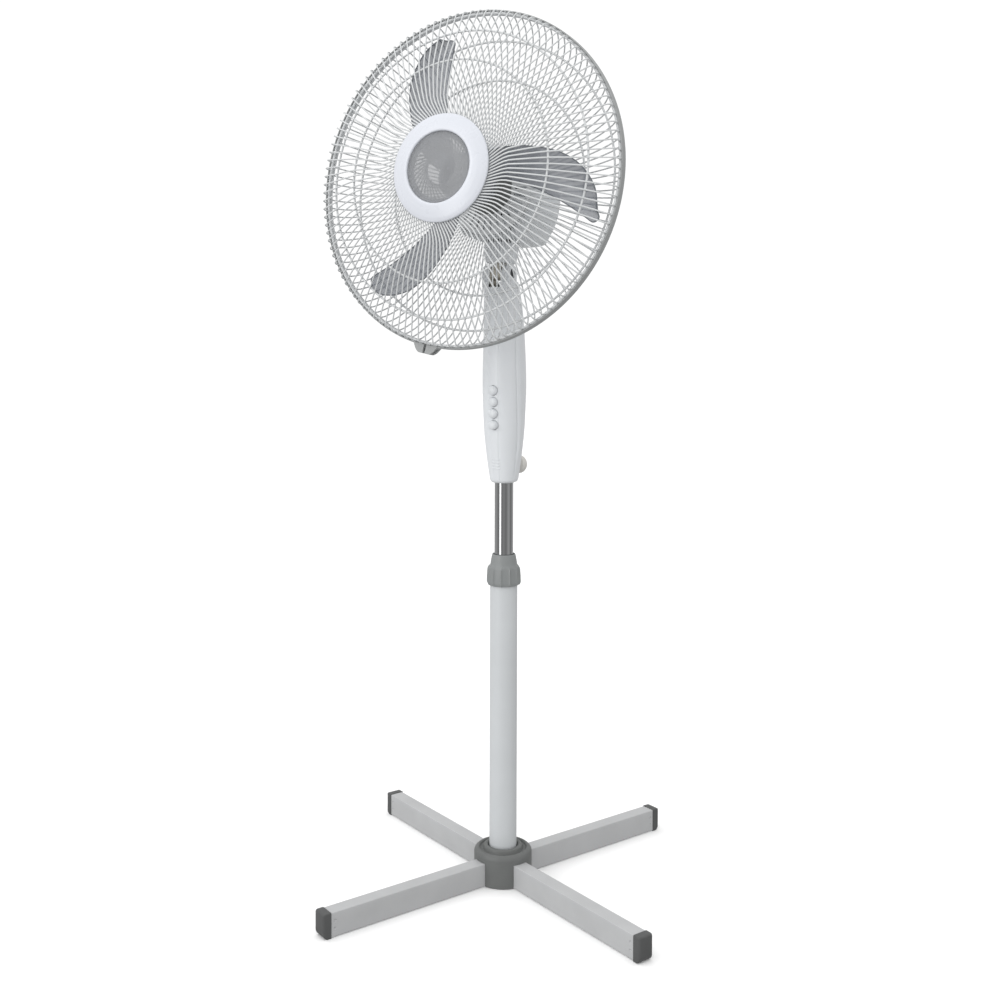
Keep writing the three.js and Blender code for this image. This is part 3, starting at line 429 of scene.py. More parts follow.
def foot_cap(name, angle, node):
    """A bar's end cap: a plug inside the bar, a straight shoulder and an end that is rounded most below."""
    plug = rounded_section(8.2, 2.8, 29.2, 0.6)
    rings = [[(-20, y, z) for y, z in plug], [(0, y, z) for y, z in plug]]
    for x, inset in ((0, CAP_CHAMFER), (0.25, 0), (CAP_SHOULDER, 0)):
        section = rounded_section(CAP_HALF_WIDTH - inset, inset, CAP_TOP - inset, CAP_CORNER)
        rings.append([(x, y, z) for y, z in section])
    for k in range(1, 15):
        x = CAP_SHOULDER + CAP_DOME * sin(pi / 2 * k / 14)
        low = CAP_BOTTOM_ROUND * (1 - cos(pi / 2 * k / 14))
        round_start = CAP_SHOULDER + CAP_DOME - CAP_EDGE_ROUND
        share = 1 - sqrt(max(0, 1 - max(0, (x - round_start) / CAP_EDGE_ROUND) ** 2))
        section = rounded_section(CAP_HALF_WIDTH - 2.6 * share, low, CAP_TOP - 2 * share, CAP_CORNER + share)
        rings.append([(x, y, z) for y, z in section])
    shape = placed(loft(rings), Matrix.Translation((BAR_HALF_LENGTH + 0.3, 0, 0)))
    piece(name, spun(shape, angle), "base", "cap_plastic", [node], crease=50)


base_bar("leg_bar_lower", BAR_ANGLES[0], 15.7, 32, "base_bar_lower")
base_bar("leg_bar_upper", BAR_ANGLES[1], 0, 16, "base_bar_upper")
for number, angle in enumerate((BAR_ANGLES[0], BAR_ANGLES[0] + 180, BAR_ANGLES[1], BAR_ANGLES[1] + 180), 1):
    foot_cap(f"leg_end_cap_{number}", angle, f"foot_cap_{number}")

hub_outline = softened([(HUB_RADIUS, 0.8), (HUB_RADIUS, 37.6), (HUB_RADIUS - 1.2, 40.8), (HUB_RADIUS - 3.6, 42.8),
                        (33.4, 43.4), (31.4, 42.6), (30.6, 40.4), (27.4, 40.2), (26.4, 42.4), (25.4, 45.6),
                        (23.4, HUB_TOP), (20.4, HUB_TOP - 0.4), (19.4, 44), (18.9, 38.8), (36.1, 37), (36.1, 0.8)],
                       0.9, closed=True)
leg_slots = [spun(box(-45, 45, -10.25, 10.25, -1, 31.25), angle) for angle in BAR_ANGLES]
piece("hub_cover", turned(hub_outline, 120, closed=True), "base", "dark_plastic", ["base_hub_cover"],
      removed=leg_slots)

# ------------------------------------------------------------------ pole, collar and inner tube
piece("lower_pole", turned(softened([(16.7, 34.7), (POLE_RADIUS, 34.7), (POLE_RADIUS, POLE_TOP), (16.7, POLE_TOP)],
                                    0.4, closed=True), 128, closed=True), "base", "pole_paint", ["stand_tube"])
piece("chrome_tube", turned(softened([(11.3, 150), (12.5, 150), (12.5, 588), (11.3, 588)], 0.4, closed=True), 128,
                            closed=True), "column", "chrome", ["inner_tube"])


def collar():
    flutes, columns = 12, 240
    rows = [(20.4, 0, 0.3), (21, 0.2, 0.5), (22, 1.8, 0.9), (22.6, 3.6, 1), (22.6, 5, 1), (22.2, 14, 1),
            (21.8, 20, 1), (21.4, 22.5, 0.9), (20.8, 24, 0.6), (19.6, 25.4, 0.25), (18.4, 26.4, 0.05),
            (17.8, 27.8, 0), (17.2, 32, 0), (16.4, 36.5, 0), (15.6, 39.6, 0), (15.3, 40.7, 0), (15, 41, 0),
            (14.4, 41, 0), (13.9, 40.6, 0), (13.1, 39.4, 0), (13.1, 35, 0), (14.6, 34.2, 0), (16.9, 23.9, 0),
            (17.6, 7.9, 0), (18.9, 7.9, 0), (18.9, 0, 0)]
    rings = []
    for radius, height, share in rows:
        ring = []
        for k in range(columns):
            angle = 2 * pi * k / columns
            u = ((angle * flutes / (2 * pi) + 0.3) % 1) * 2 - 1
            facet = cos(pi / flutes) / cos(pi / flutes * u)
            scoop = 0.9 * (1 - u ** 4) - 0.4 * max(0, abs(u) - 0.84) / 0.16
            reach = radius * mixed(1, facet, share) - scoop * share
            ring.append((reach * cos(angle), reach * sin(angle), 395.5 + height))
        rings.append(ring)
    return loft(rings, closed=True)


piece("locking_collar", collar(), "collar", "collar_plastic", ["collar_nut"], crease=40)

# ------------------------------------------------------------------ control housing
SECTIONS = [(550, 19.8, 21.4, 0), (576, 22.8, 25, 0), (612, 25.6, 28.5, 0), (668, 27, 30.1, 0),
            (730, 25.4, 27.7, -1.5), (770, 23.8, 25.2, -5), (797, 21.4, 22.4, -9.5)]
SQUARENESS = 2.35
BUTTON_HEIGHTS = (655.1, 640, 624.9, 609.8)
BUTTON_NAMES = ("push_button_off", "push_button_low", "push_button_mid", "push_button_high")
BUTTON_RADIUS = 6.3
KNOB_HEIGHT = 552
TILT_Y, TILT_Z = -14, 808
BOLT_SEAT, COUNTERBORE_RADIUS = 17, 6.6
SHELL_SCREWS = ((596, 28.2), (752, 23.6))
FRONT_TOP = 789

HOUSING_FOOT, FOOT_ROUND = 532, 4.2
FOOT_HALF_WIDTH, FOOT_HALF_DEPTH = 17.2, 18.7
LOWEST_SECTION, LOWEST_HALF_WIDTH, LOWEST_HALF_DEPTH, _ = SECTIONS[0]
smooth_sections = spline(SECTIONS, 24)


def section_at(height):
    """Half width, half depth and centre line of the housing at a height."""
    if height <= LOWEST_SECTION:
        below_round = max(0, 1 - (height - HOUSING_FOOT) / FOOT_ROUND)
        corner = FOOT_ROUND * (1 - sqrt(max(0, 1 - below_round ** 2)))
        grow = (height - HOUSING_FOOT) / (LOWEST_SECTION - HOUSING_FOOT)
        return (mixed(FOOT_HALF_WIDTH, LOWEST_HALF_WIDTH, grow) - corner,
                mixed(FOOT_HALF_DEPTH, LOWEST_HALF_DEPTH, grow) - corner, 0)
    for low, high in zip(smooth_sections, smooth_sections[1:]):
        if height <= high[0]:
            share = (height - low[0]) / (high[0] - low[0])
            return tuple(mixed(low[i], high[i], share) for i in (1, 2, 3))
    return tuple(smooth_sections[-1][1:])


def seam_at(height):
    """How far forward the joint between the two shells is."""
    return mixed(-5, -13.1, eased(height, 545, 690)) + mixed(0, -1.5, eased(height, 720, 789))


def housing_ring(height, inset=0, detail=True):
    """One level ring of the housing: its front strip, the groove of its joint and the ridge behind that."""
    half_width, half_depth, centre = section_at(height)
    half_width, half_depth = half_width - inset, half_depth - inset
    power = 2 / SQUARENESS

    def turn_at(y):
        reach = (centre - y) / half_depth
        return acos(max(-1, min(1, copysign(abs(reach) ** (SQUARENESS / 2), reach))))

    strip = min(mixed(4.2, 7.2, eased(height, 540, 640)), mixed(7.2, 6, eased(height, 700, 797)))
    strip_turn = asin(min(1, (strip / half_width)) ** (SQUARENESS / 2))
    groove = 0.55 / half_width
    seam = seam_at(height)
    ridge = seam + 3.4 + 4.6 * eased(height, 566, 640)
    proud = 1.3 * eased(height, 548, 580) * (1 - eased(height, 772, 790))
    dip = 0.9 * eased(height, 536, 546) * (1 - eased(height, 784, 790))
    knots = [(0, 0, 3), (strip_turn - groove, 0, 1), (strip_turn, -0.55, 1), (strip_turn + groove, -0.3, 20),
             (turn_at(seam - 1.3), -0.3, 1), (turn_at(seam), -dip, 1), (turn_at(seam + 1.3), 0.15 * proud, 4),
             (turn_at(ridge), proud, 5), (turn_at(ridge + 6), 0, 24), (pi, 0, 1)]
    half = []
    for (turn, swell, count), (next_turn, next_swell, _) in zip(knots, knots[1:]):
        for k in range(count):
            half.append((mixed(turn, next_turn, k / count), mixed(swell, next_swell, k / count)))
    half.append((pi, 0))
    ring = []
    for turn, swell in half:
        x = half_width * abs(sin(turn)) ** power
        y = centre - copysign(abs(cos(turn)) ** power, cos(turn)) * half_depth
        if detail:
            outward = Vector((x / half_width ** 2, (y - centre) / half_depth ** 2)).normalized()
            x, y = x + outward.x * swell, y + outward.y * swell
        ring.append((max(0, x), y))
    mirrored = [(-x, y) for x, y in reversed(ring[1:-1])]
    return [(x, y, height) for x, y in ring + mirrored]


def housing_body():
    heights = [HOUSING_FOOT + FOOT_ROUND * (1 - cos(pi / 2 * k / 6)) for k in range(7)]
    heights += [mixed(538, 797, k / 84) for k in range(85)]
    return loft([housing_ring(height) for height in heights])


def housing_room():
    heights = [534.5] + [mixed(538, 794, k / 21) for k in range(22)]
    return loft([housing_ring(height, 2.3, detail=False) for height in heights])


def seam_block(front, offset):
    """Everything on one side of the joint between the shells, up to the top of the front one."""
    heights = [mixed(520, FRONT_TOP, k / 40) for k in range(41)]
    line = [(seam_at(max(HOUSING_FOOT, height)) + offset, height) for height in heights]
    far = -80 if front else 80
    outline = [(far, 520), *line, (far, FRONT_TOP)]
    return loft([[(x, y, z) for y, z in outline] for x in (-60, 60)])


tube_mouth = rod((0, 0, 526), (0, 0, 545), 13.1, 48)
button_holes = [rod((0, -50, z), (0, -20, z), BUTTON_RADIUS + 0.45, 48) for z in BUTTON_HEIGHTS]
above_front = box(-60, 60, -80, 80, FRONT_TOP, 900)


def grip_line(height):
    """A thin raised bar across the front of the housing."""
    rings = []
    for rise, proud in ((-0.9, -0.6), (-0.6, 0.35), (0, 0.6), (0.6, 0.35), (0.9, -0.6)):
        half_width, half_depth, centre = section_at(height + rise)
        row = []
        for k in range(13):
            x = mixed(-6.6, 6.6, k / 12)
            depth = (1 - (abs(x) / half_width) ** SQUARENESS) ** (1 / SQUARENESS) * half_depth
            taper = 1 - eased(abs(x), 5.6, 6.6)
            row.append((x, centre - depth - mixed(-0.6, proud, taper), height + rise))
        row += [(x, y + 1.4, z) for x, y, z in reversed(row)]
        rings.append(row)
    return loft(rings)


outer, room = housing_body(), housing_room()
piece("housing_front_shell", outer, "column", "white_gloss", ["housing_front"],
      added=[grip_line(z) for z in (552, 556, 560, 564)],
      removed=[room, seam_block(False, -0.15), above_front, together(*button_holes), tube_mouth], crease=38)

cheek = rod((-20, TILT_Y, TILT_Z), (20, TILT_Y, TILT_Z), 11, 64)
cheek_stem = box(-20, 20, TILT_Y - 10.9, TILT_Y + 10.9, 790, TILT_Z)
slot = box(-9.3, 9.3, -40, 4, 790, 830)
bolt_hole = rod((-30, TILT_Y, TILT_Z), (30, TILT_Y, TILT_Z), 3.4, 32)
counterbores = [rod((side * BOLT_SEAT, TILT_Y, TILT_Z), (side * 24, TILT_Y, TILT_Z), COUNTERBORE_RADIUS, 48)
                for side in (-1, 1)]
rear_holes = together(rod((0, 12, KNOB_HEIGHT), (0, 40, KNOB_HEIGHT), 3.5), rod((0, 10, 582), (0, 40, 582), 4.4),
                      *[rod((0, 5, z), (0, 50, z), 2.1) for z, _ in SHELL_SCREWS])
piece("housing_rear_shell", outer, "column", "white_gloss", ["housing_rear"], added=[cheek_stem, cheek],
      removed=[room, seam_block(True, 0.15), slot, bolt_hole, *counterbores, rear_holes, tube_mouth], crease=38)

for name, height in zip(BUTTON_NAMES, BUTTON_HEIGHTS):
    cap = softened([(0, -2.4), (2, -2.4), (2, 0), (BUTTON_RADIUS, 0), (BUTTON_RADIUS, 9.6), (5.7, 11.3),
                    (4.2, 12.4), (2.2, 12.95), (0, 13.1)], 0.5)
    place = Matrix.Translation((0, -21.6, height)) @ Matrix.Rotation(radians(90), 4, "X")
    piece(name + "_cap", turned(cap, 64), name.replace("push_button", "button"), "button_plastic", [name],
          place=place)

knob = softened([(0, -18), (3, -18), (3, -7.5), (6.5, -7.5), (6.5, 0), (8, 0), (11.8, 1.2), (12.5, 3.6),
                 (12.5, 9.4), (11.6, 12), (8.6, 13.2), (0, 13.6)], 1)
piece("clamp_knob", turned(knob, 96), "lock_knob", "white_gloss", ["lock_knob"], look=OFF_WHITE,
      place=Matrix.Translation((0, 31.4, KNOB_HEIGHT)) @ Matrix.Rotation(radians(-90), 4, "X"))


def cross_screw(name, head_radius, head_height, shank_radius, shank_length, place, body, node, look=None):
    """A cross-recessed screw whose head stands on z 0 and whose shank goes down."""
    outline = softened([(0, -shank_length), (shank_radius, -shank_length), (shank_radius, 0), (head_radius, 0),
                        (head_radius, head_height * 0.45), (head_radius * 0.72, head_height * 0.9),
                        (0, head_height)], 0.3)
    depth, arm = head_height * 0.45, head_radius * 0.55
    cross = [box(-arm, arm, -0.45, 0.45, depth, head_height + 1),
             box(-0.45, 0.45, -arm, arm, depth, head_height + 1)]
    piece(name, turned(outline, 48), body, "steel", [node], place=place, look=look, removed=cross)


for number, (height, back) in enumerate(SHELL_SCREWS, 1):
    cross_screw(f"shell_screw_{number}", 3.6, 1.8, 1.6, back + 10,
                Matrix.Translation((0, back, height)) @ Matrix.Rotation(radians(-90), 4, "X"),
                "column", f"housing_screw_{number}")
cross_screw("hinge_bolt", 5.4, 2.6, 3, 37.9, Matrix.Translation((BOLT_SEAT + 0.3, TILT_Y, TILT_Z))
            @ Matrix.Rotation(radians(90), 4, "Y"), "column", "tilt_bolt", look=DARK_STEEL)
gland = softened([(2.2, 0), (6.4, 0), (6.4, 2), (4, 2.1), (4, 6.1), (6.4, 6.2), (6.2, 8), (5.2, 12), (3.4, 14),
                  (2.2, 14)], 0.5, closed=True)
piece("cord_outlet", turned(gland, 64, closed=True), "column", "black_plastic", ["cord_gland"],
      place=Matrix.Translation((0, 20.8, 582)) @ Matrix.Rotation(radians(-90), 4, "X"))

# ------------------------------------------------------------------ head frame
HEAD = Matrix.Translation((0, -99, 923.3)) @ Matrix.Rotation(radians(90 - 7.35), 4, "X")
SWIVEL_Z, GEAR_Z, KNOB_X = -100, -145.5, 14.2
NECK_TOP = -64.5


def standing(shape, x=0, z=SWIVEL_Z):
    """A turned shape stood up along the head's y."""
    return placed(shape, Matrix.Translation((x, 0, z)) @ Matrix.Rotation(radians(-90), 4, "X"))


tilt = HEAD.inverted() @ Vector((0, TILT_Y, TILT_Z))
neck_outline = softened([(0, -90.5), (17.5, -90.5), (20.6, -88), (22.2, -78), (22.6, NECK_TOP - 2),
                         (21.8, NECK_TOP), (0, NECK_TOP)], 1.2)
pin_hole = rod((0, NECK_TOP - 16, SWIVEL_Z), (0, NECK_TOP + 1, SWIVEL_Z), 4.3)
neck_post = rod((16, NECK_TOP - 1, SWIVEL_Z), (16, -52.6, SWIVEL_Z), 2.2, 24)
piece("neck_collar", standing(turned(neck_outline, 96)), "neck", "white_gloss", ["tilt_neck"], place=HEAD,
      added=[neck_post], removed=[pin_hole])
tongue = box(-6.6, 6.6, tilt.y, -90.8, tilt.z - 8, tilt.z + 8)
tongue_eye = rod((-6.6, tilt.y, tilt.z), (6.6, tilt.y, tilt.z), 9.5, 64)
tongue_hole = rod((-30, tilt.y, tilt.z), (30, tilt.y, tilt.z), 3.3)
piece("neck_tongue", tongue_eye, "neck", "steel", ["tilt_neck"], place=HEAD, look=ZINC_PLATE, added=[tongue],
      removed=[tongue_hole], bevel=0.5)


# ------------------------------------------------------------------ motor casing
def corner_cut(points, times=3):
    """The line with its corners cut off, again and again, until it runs smoothly between its ends."""
    for _ in range(times):
        fresh = [points[0]]
        for a, b in zip(points, points[1:]):
            fresh += [a * 0.75 + b * 0.25, a * 0.25 + b * 0.75]
        points = fresh + [points[-1]]
    return points


MOTOR_RADIUS, MOTOR_FRONT, MOTOR_SPLIT, MOTOR_WALL = 61, -62, -92, 2.4
SHOULDER, DOME_DEPTH, DOME_END, SPLIT_GROOVE = -117, 59, 0.4, 0.988
SKIRT = [(-61, 0), (-58, -26), (-44, -50), (-37, -61.5), (37, -61.5), (44, -50), (58, -26), (61, 0)]


def casing(scale, z, inset=0):
    """The casing's section at z: a half circle above and the skirt below."""
    radius = MOTOR_RADIUS * scale - inset
    ring = [(radius * cos(pi * k / 48), radius * sin(pi * k / 48), z) for k in range(49)]
    flat = [Vector((x * scale * (1 - inset / 60), y * (0.7 + 0.3 * scale) * (1 - inset / 60))) for x, y in SKIRT]
    return ring + [(point.x, point.y, z) for point in corner_cut(flat)[1:-1]]


swivel_mouth = rod((0, -80, SWIVEL_Z), (0, -52, SWIVEL_Z), 21, 64)


def casing_front():
    rows = [(0.9, MOTOR_FRONT)]
    rows += [(mixed(0.9, 1, sin(pi / 2 * k / 8)), MOTOR_FRONT - 8 * (1 - cos(pi / 2 * k / 8))) for k in range(1, 9)]
    rows += [(1, MOTOR_SPLIT + 2.2), (SPLIT_GROOVE, MOTOR_SPLIT + 1.6), (SPLIT_GROOVE, MOTOR_SPLIT)]
    outside = loft([casing(scale, z) for scale, z in rows])
    inside = loft([casing(0.95, MOTOR_FRONT - MOTOR_WALL, MOTOR_WALL), casing(1, MOTOR_FRONT - 8, MOTOR_WALL),
                   casing(1, MOTOR_SPLIT - 1, MOTOR_WALL)])
    return outside, inside


def dome_rows(depth, steps):
    """(scale, z) rows down the rear dome, which shrinks towards its flat end."""
    return [(mixed(DOME_END, 1, cos(pi / 2 * k / steps) ** 0.8), SHOULDER - depth * sin(pi / 2 * k / steps))
            for k in range(1, steps + 1)]


def casing_rear():
    rows = [(SPLIT_GROOVE, MOTOR_SPLIT - 0.3), (SPLIT_GROOVE, MOTOR_SPLIT - 1.6), (1, MOTOR_SPLIT - 2.2), (1, -108),
            (1, SHOULDER), *dome_rows(DOME_DEPTH, 14)]
    outside = loft([casing(scale, z) for scale, z in rows])
    room = [(1, MOTOR_SPLIT + 1), (1, SHOULDER), *dome_rows(DOME_DEPTH - 2.6, 8)]
    inside = loft([casing(scale, z, MOTOR_WALL) for scale, z in room])
    return outside, inside


front_outside, front_inside = casing_front()
round_slots = [spun(box(inner, inner + 4, -1.3, 1.3, MOTOR_FRONT - 6, MOTOR_FRONT + 2), i * 20 + shift)
               for inner, shift in ((35, 0), (43, 10)) for i in range(18)]
square_slots = [box(x - 1.6, x + 1.6, -53.5, -50.5, MOTOR_FRONT - 8, MOTOR_FRONT + 2) for x in range(-32, 33, 8)]
front_slots = together(*round_slots, *square_slots)
skirt_vents = together(*[box(x - 1.5, x + 1.5, -70, -48, -89, -84) for x in range(-30, 31, 6)])
piece("motor_cover_front", front_outside, "motor", "white_gloss", ["motor_front_cover"], place=HEAD,
      look=MOTOR_PLASTIC,
      removed=[front_inside, rod((0, 0, -70), (0, 0, -40), 9, 48), swivel_mouth, front_slots, skirt_vents])
rear_outside, rear_inside = casing_rear()
rear_slots = together(*[box(x - 1.5, x + 1.5, 20, 70, -190, -146) for x in range(-36, 37, 8) if abs(x) > 3])
piece("motor_cover_rear", rear_outside, "motor", "white_gloss", ["motor_rear_cover"], place=HEAD,
      look=MOTOR_PLASTIC, removed=[rear_inside, swivel_mouth, rod((KNOB_X, 30, GEAR_Z), (KNOB_X, 80, GEAR_Z), 3.6),
               rod((0, 0, -180), (0, 0, -165), 2.3), rear_slots])


def lobed(outline, lobes, depth, steps=144):
    """A turned shape whose outer radius is gathered into grip lobes where the outline asks for it."""
    rings = []
    for radius, height, share in outline:
        ring = []
        for k in range(steps):
            angle = 2 * pi * k / steps
            reach = radius - depth * share * (0.5 + 0.5 * cos(lobes * angle)) ** 3
            ring.append((reach * cos(angle), reach * sin(angle), height))
        rings.append(ring)
    return loft(rings)


swivel_grip = lobed([(3, 7, 0), (3, 59.6, 0), (6.6, 59.6, 0), (7.4, 59.9, 0.3), (8.4, 61, 1), (8.8, 66, 1),
                     (9, 71, 1), (8.7, 72.4, 0.8), (7.9, 73.2, 0.3), (6.6, 73.6, 0), (2, 73.6, 0)], 18, 0.7)
piece("swivel_grip", standing(swivel_grip, KNOB_X, GEAR_Z), "swivel_knob", "white_gloss", ["swivel_knob"],
      place=HEAD)
cross_screw("casing_screw", 4, 2.6, 2, 10, HEAD @ Matrix.Translation((0, 0, -176.4))
            @ Matrix.Rotation(radians(180), 4, "X"), "motor", "rear_cover_screw")

# ------------------------------------------------------------------ blade
ROOT_RADIUS, SPAN, BLADE_END, TIP_ROUND = 29.5, 161.5, 190, 9


def blade_point(radius, s, turn):
    """The middle of the sheet at a radius, from the leading edge at s 0 to the trailing edge at 1."""
    t = (radius - ROOT_RADIUS) / SPAN
    trail, lead = 44.5 - 76 * t + 42.4 * t ** 2 - 22.6 * t ** 5, 0.2 - 22 * t + 2.2 * t ** 3
    past = max(0, 1 - (BLADE_END - radius) / TIP_ROUND)
    narrow = max(0.3, sqrt(max(0, 1 - past ** 2.4)))
    middle = mixed(lead, trail, 0.42)
    angle = radians(middle + (mixed(lead, trail, s) - middle) * narrow + turn)
    height = mixed(8 - 17 * t, 20 - 16 * t, s) - 7 * sin(pi * s) * (1 - 0.4 * t)
    return Vector((radius * cos(angle), radius * sin(angle), height))


def blade_radii(rows):
    return [ROOT_RADIUS + (BLADE_END - ROOT_RADIUS) * (1 - (1 - row / (rows - 1)) ** 1.5) for row in range(rows)]


def blade_sheet(turn):
    columns = 22
    rings = []
    for radius in blade_radii(50):
        thickness = mixed(2.2, 1.3, (radius - ROOT_RADIUS) / SPAN)
        over, under = [], []
        for column in range(columns + 1):
            s = 0.5 - 0.5 * cos(pi * column / columns)
            middle = blade_point(radius, s, turn)
            half = Vector((0, 0, thickness / 2 * sqrt(max(0.03, 1 - abs(2 * s - 1) ** 10))))
            over.append(middle + half)
            under.append(middle - half)
        rings.append(over + under[::-1])
    return loft(rings)


def blade_outline(turn):
    """The thickened edge round the sheet."""
    radii = blade_radii(44)[3:]
    path = [blade_point(radius, 0, turn) for radius in radii]
    path += [blade_point(radii[-1], k / 6, turn) for k in range(1, 6)]
    path += [blade_point(radius, 1, turn) for radius in reversed(radii)]
    return wire(path, 0.75, 6)


hub_cup = [(4.3, 22), (22, 21.8), (26.5, 20.8), (29.4, 18.4), (30.7, 15), (31, 10), (31, -23.6), (30.6, -24),
           (28.8, -24), (28.6, 14.5), (26.6, 17.6), (22, 19.4), (9, 19.6), (9, -12), (4.3, -12)]
hub_room = rod((0, 0, -60), (0, 0, 60), 31, 96)
piece("blade", turned(hub_cup, 96, closed=True), "rotor", "blade_plastic", ["fan_blade"], place=HEAD, crease=50)
for number in (1, 2, 3):
    blade_turn = (number - 1) * 120
    piece(f"blade_{number}", blade_sheet(blade_turn), "rotor", "blade_plastic", ["fan_blade"], place=HEAD,
          removed=[hub_room], crease=60)
    piece(f"blade_{number}_edge", blade_outline(blade_turn), "rotor", "blade_plastic", ["fan_blade"], place=HEAD,
          look=BLADE_EDGE, crease=60)

nut_outline = [(4.3, 22.4, 0), (14, 22.4, 0), (15.4, 22.7, 0.3), (16.6, 24, 1), (16.5, 29, 1), (15, 33, 0.9),
               (12, 36.6, 0.4), (9, 38.2, 0), (4.3, 38.4, 0)]
piece("spinner_nut", lobed(nut_outline, 6, 2.2), "rotor", "blade_plastic", ["blade_nut"], place=HEAD)

# ------------------------------------------------------------------ guards
WIRES, WIRE_RADIUS = 120, 0.95
RING_RADIUS, RING_THICKNESS, HOOP_THICKNESS = 210.4, 2, 1.35
front_profile = spline([(RING_RADIUS + 0.3, 0.9), (211.9, 6.5), (212, 11), (209.2, 15.8), (200, 20.2), (181, 28.6),
                        (160, 39), (138.5, 48.6), (115, 54), (92, 57.2), (66, 58.4)], 4)
rear_profile = spline([(RING_RADIUS + 0.3, -0.9), (211, -6.5), (209.8, -11), (206.6, -17), (200, -26), (187, -36.6),
                       (164, -46), (140, -52.2), (110, -56.6), (80, -59.4), (57, -60.4)], 4)


def wire_path(profile, angle, hook=0):
    """A wire down the guard's profile, hooked sideways where it nears the middle."""
    path = []
    for radius, height in profile:
        swing = hook * max(0, (92 - radius) / 26) ** 1.6
        at = radians(angle - swing)
        path.append((radius * cos(at), radius * sin(at), height))
    return path


def guard(profile, hoops, hook, first_turn):
    """One half of the cage: its wires, and its hoops as (radius, height, thickness)."""
    wires = [wire(wire_path(profile, first_turn + i * 360 / WIRES, hook), WIRE_RADIUS, 7)
             for i in range(WIRES)]
    return together(*wires, *[hoop(*sizes) for sizes in hoops])


front_plate = turned(softened([(58, 57), (65.5, 57), (65.5, 59.5), (58, 59.5)], 0.3, closed=True), 144, closed=True)
INNER_WIRES = 40
SPIRAL = ((66, -7), (54, -14), (42, -23), (30, -36), (22, -52))
inner_wires = []
for i in range(INNER_WIRES):
    places = [(radius, radians(i * 360 / INNER_WIRES + lag)) for radius, lag in SPIRAL]
    inner_wires.append(wire([(radius * cos(at), radius * sin(at), 58.4) for radius, at in places], WIRE_RADIUS, 6))
front = guard(front_profile, [(RING_RADIUS + 0.6, 2.2, RING_THICKNESS), (181, 26.4, HOOP_THICKNESS),
                              (138.5, 46.2, HOOP_THICKNESS)], 7, 0)
piece("front_grille", together(front, front_plate, *inner_wires, hoop(21, 58.2, 1.3, 72)), "motor", "wire_paint",
      ["front_guard"], place=HEAD, crease=60)
rear = guard(rear_profile, [(RING_RADIUS + 0.6, -2.2, RING_THICKNESS), (187, -35.6, HOOP_THICKNESS),
                            (140, -49.9, HOOP_THICKNESS)], 0, 1.5)
rear_plate = turned(softened([(16.4, -61.7), (60, -61.7), (60, -59.4), (40, -59.4), (38, -58.9), (16.4, -58.9)],
                             0.5, closed=True), 144, closed=True)
plate_slots = together(*[spun(box(37, 54, -1.5, 1.5, -64, -56), i * 12) for i in range(30)])
piece("rear_grille", rear, "motor", "wire_paint", ["rear_guard"], place=HEAD, crease=60)
piece("rear_grille_plate", rear_plate, "motor", "wire_paint", ["rear_guard"], place=HEAD, removed=[plate_slots])
grip_outline = [(14.3, -58.5, 0), (32.4, -58.5, 0), (33.6, -58, 0.6), (34, -56.5, 1), (33.2, -54.4, 1),
                (31, -52, 0.9), (25, -49.8, 0.3), (20.4, -48.5, 0), (19.4, -46, 0), (18.6, -45, 0), (14.3, -45, 0)]
piece("grille_nut", lobed(grip_outline, 8, 4), "motor", "dark_plastic", ["rear_guard_nut"], place=HEAD,
      removed=[rod((0, 0, -70), (0, 0, -40), 14.3, 64)])

# ------------------------------------------------------------------ rim band and its clip
RIM_RADIUS, RIM_INNER, RIM_HALF, CLIP_ANGLE = 214.8, 213.1, 5.1, -100.7
band_outline = [(RIM_INNER, -RIM_HALF), (RIM_RADIUS - 0.3, -RIM_HALF), (RIM_RADIUS, -3.9), (RIM_RADIUS, 3.9),
                (RIM_RADIUS - 0.3, RIM_HALF), (RIM_INNER, RIM_HALF)]
band = turned(softened(band_outline, 0.6, closed=True, steps=3), 288, closed=True)


def clip_lug(side):
    """One of the two ears that the screw pulls together."""
    corners = [(RIM_INNER + 0.3, 1.2), (RIM_RADIUS + 9.6, 1.2), (RIM_RADIUS + 9.6, 8), (RIM_RADIUS + 6.6, 12.4),
               (RIM_RADIUS + 1.6, 16), (RIM_INNER - 0.6, 18.4), (RIM_INNER - 0.9, 17.4), (RIM_INNER - 0.2, 9)]
    outline = softened([(x, side * y) for x, y in corners], 1.8, closed=True)
    return spun(plate(outline, -5.8, 5.8), CLIP_ANGLE)


split = spun(box(RIM_INNER - 4, RIM_RADIUS + 12, -1.7, 1.7, -10, 10), CLIP_ANGLE)
clip_hole = spun(rod((RIM_RADIUS + 4.5, -16, 0), (RIM_RADIUS + 4.5, 16, 0), 2), CLIP_ANGLE)
pockets = spun(together(*[box(RIM_RADIUS + 1.2, RIM_RADIUS + 12, *sorted((side * 8.4, side * 30)), -2.9, 2.9)
                          for side in (-1, 1)]), CLIP_ANGLE)
piece("rim_hoop", band, "motor", "band_plastic", ["rim_band"], place=HEAD, added=[clip_lug(1), clip_lug(-1)],
      removed=[split, clip_hole, pockets])
clip_place = HEAD @ Matrix.Rotation(radians(CLIP_ANGLE), 4, "Z") @ Matrix.Translation((RIM_RADIUS + 4.5, 8.8, 0))
cross_screw("clip_screw", 2.7, 2.4, 1.6, 20.2, clip_place @ Matrix.Rotation(radians(-90), 4, "X"), "motor",
            "rim_screw", look=DARK_STEEL)

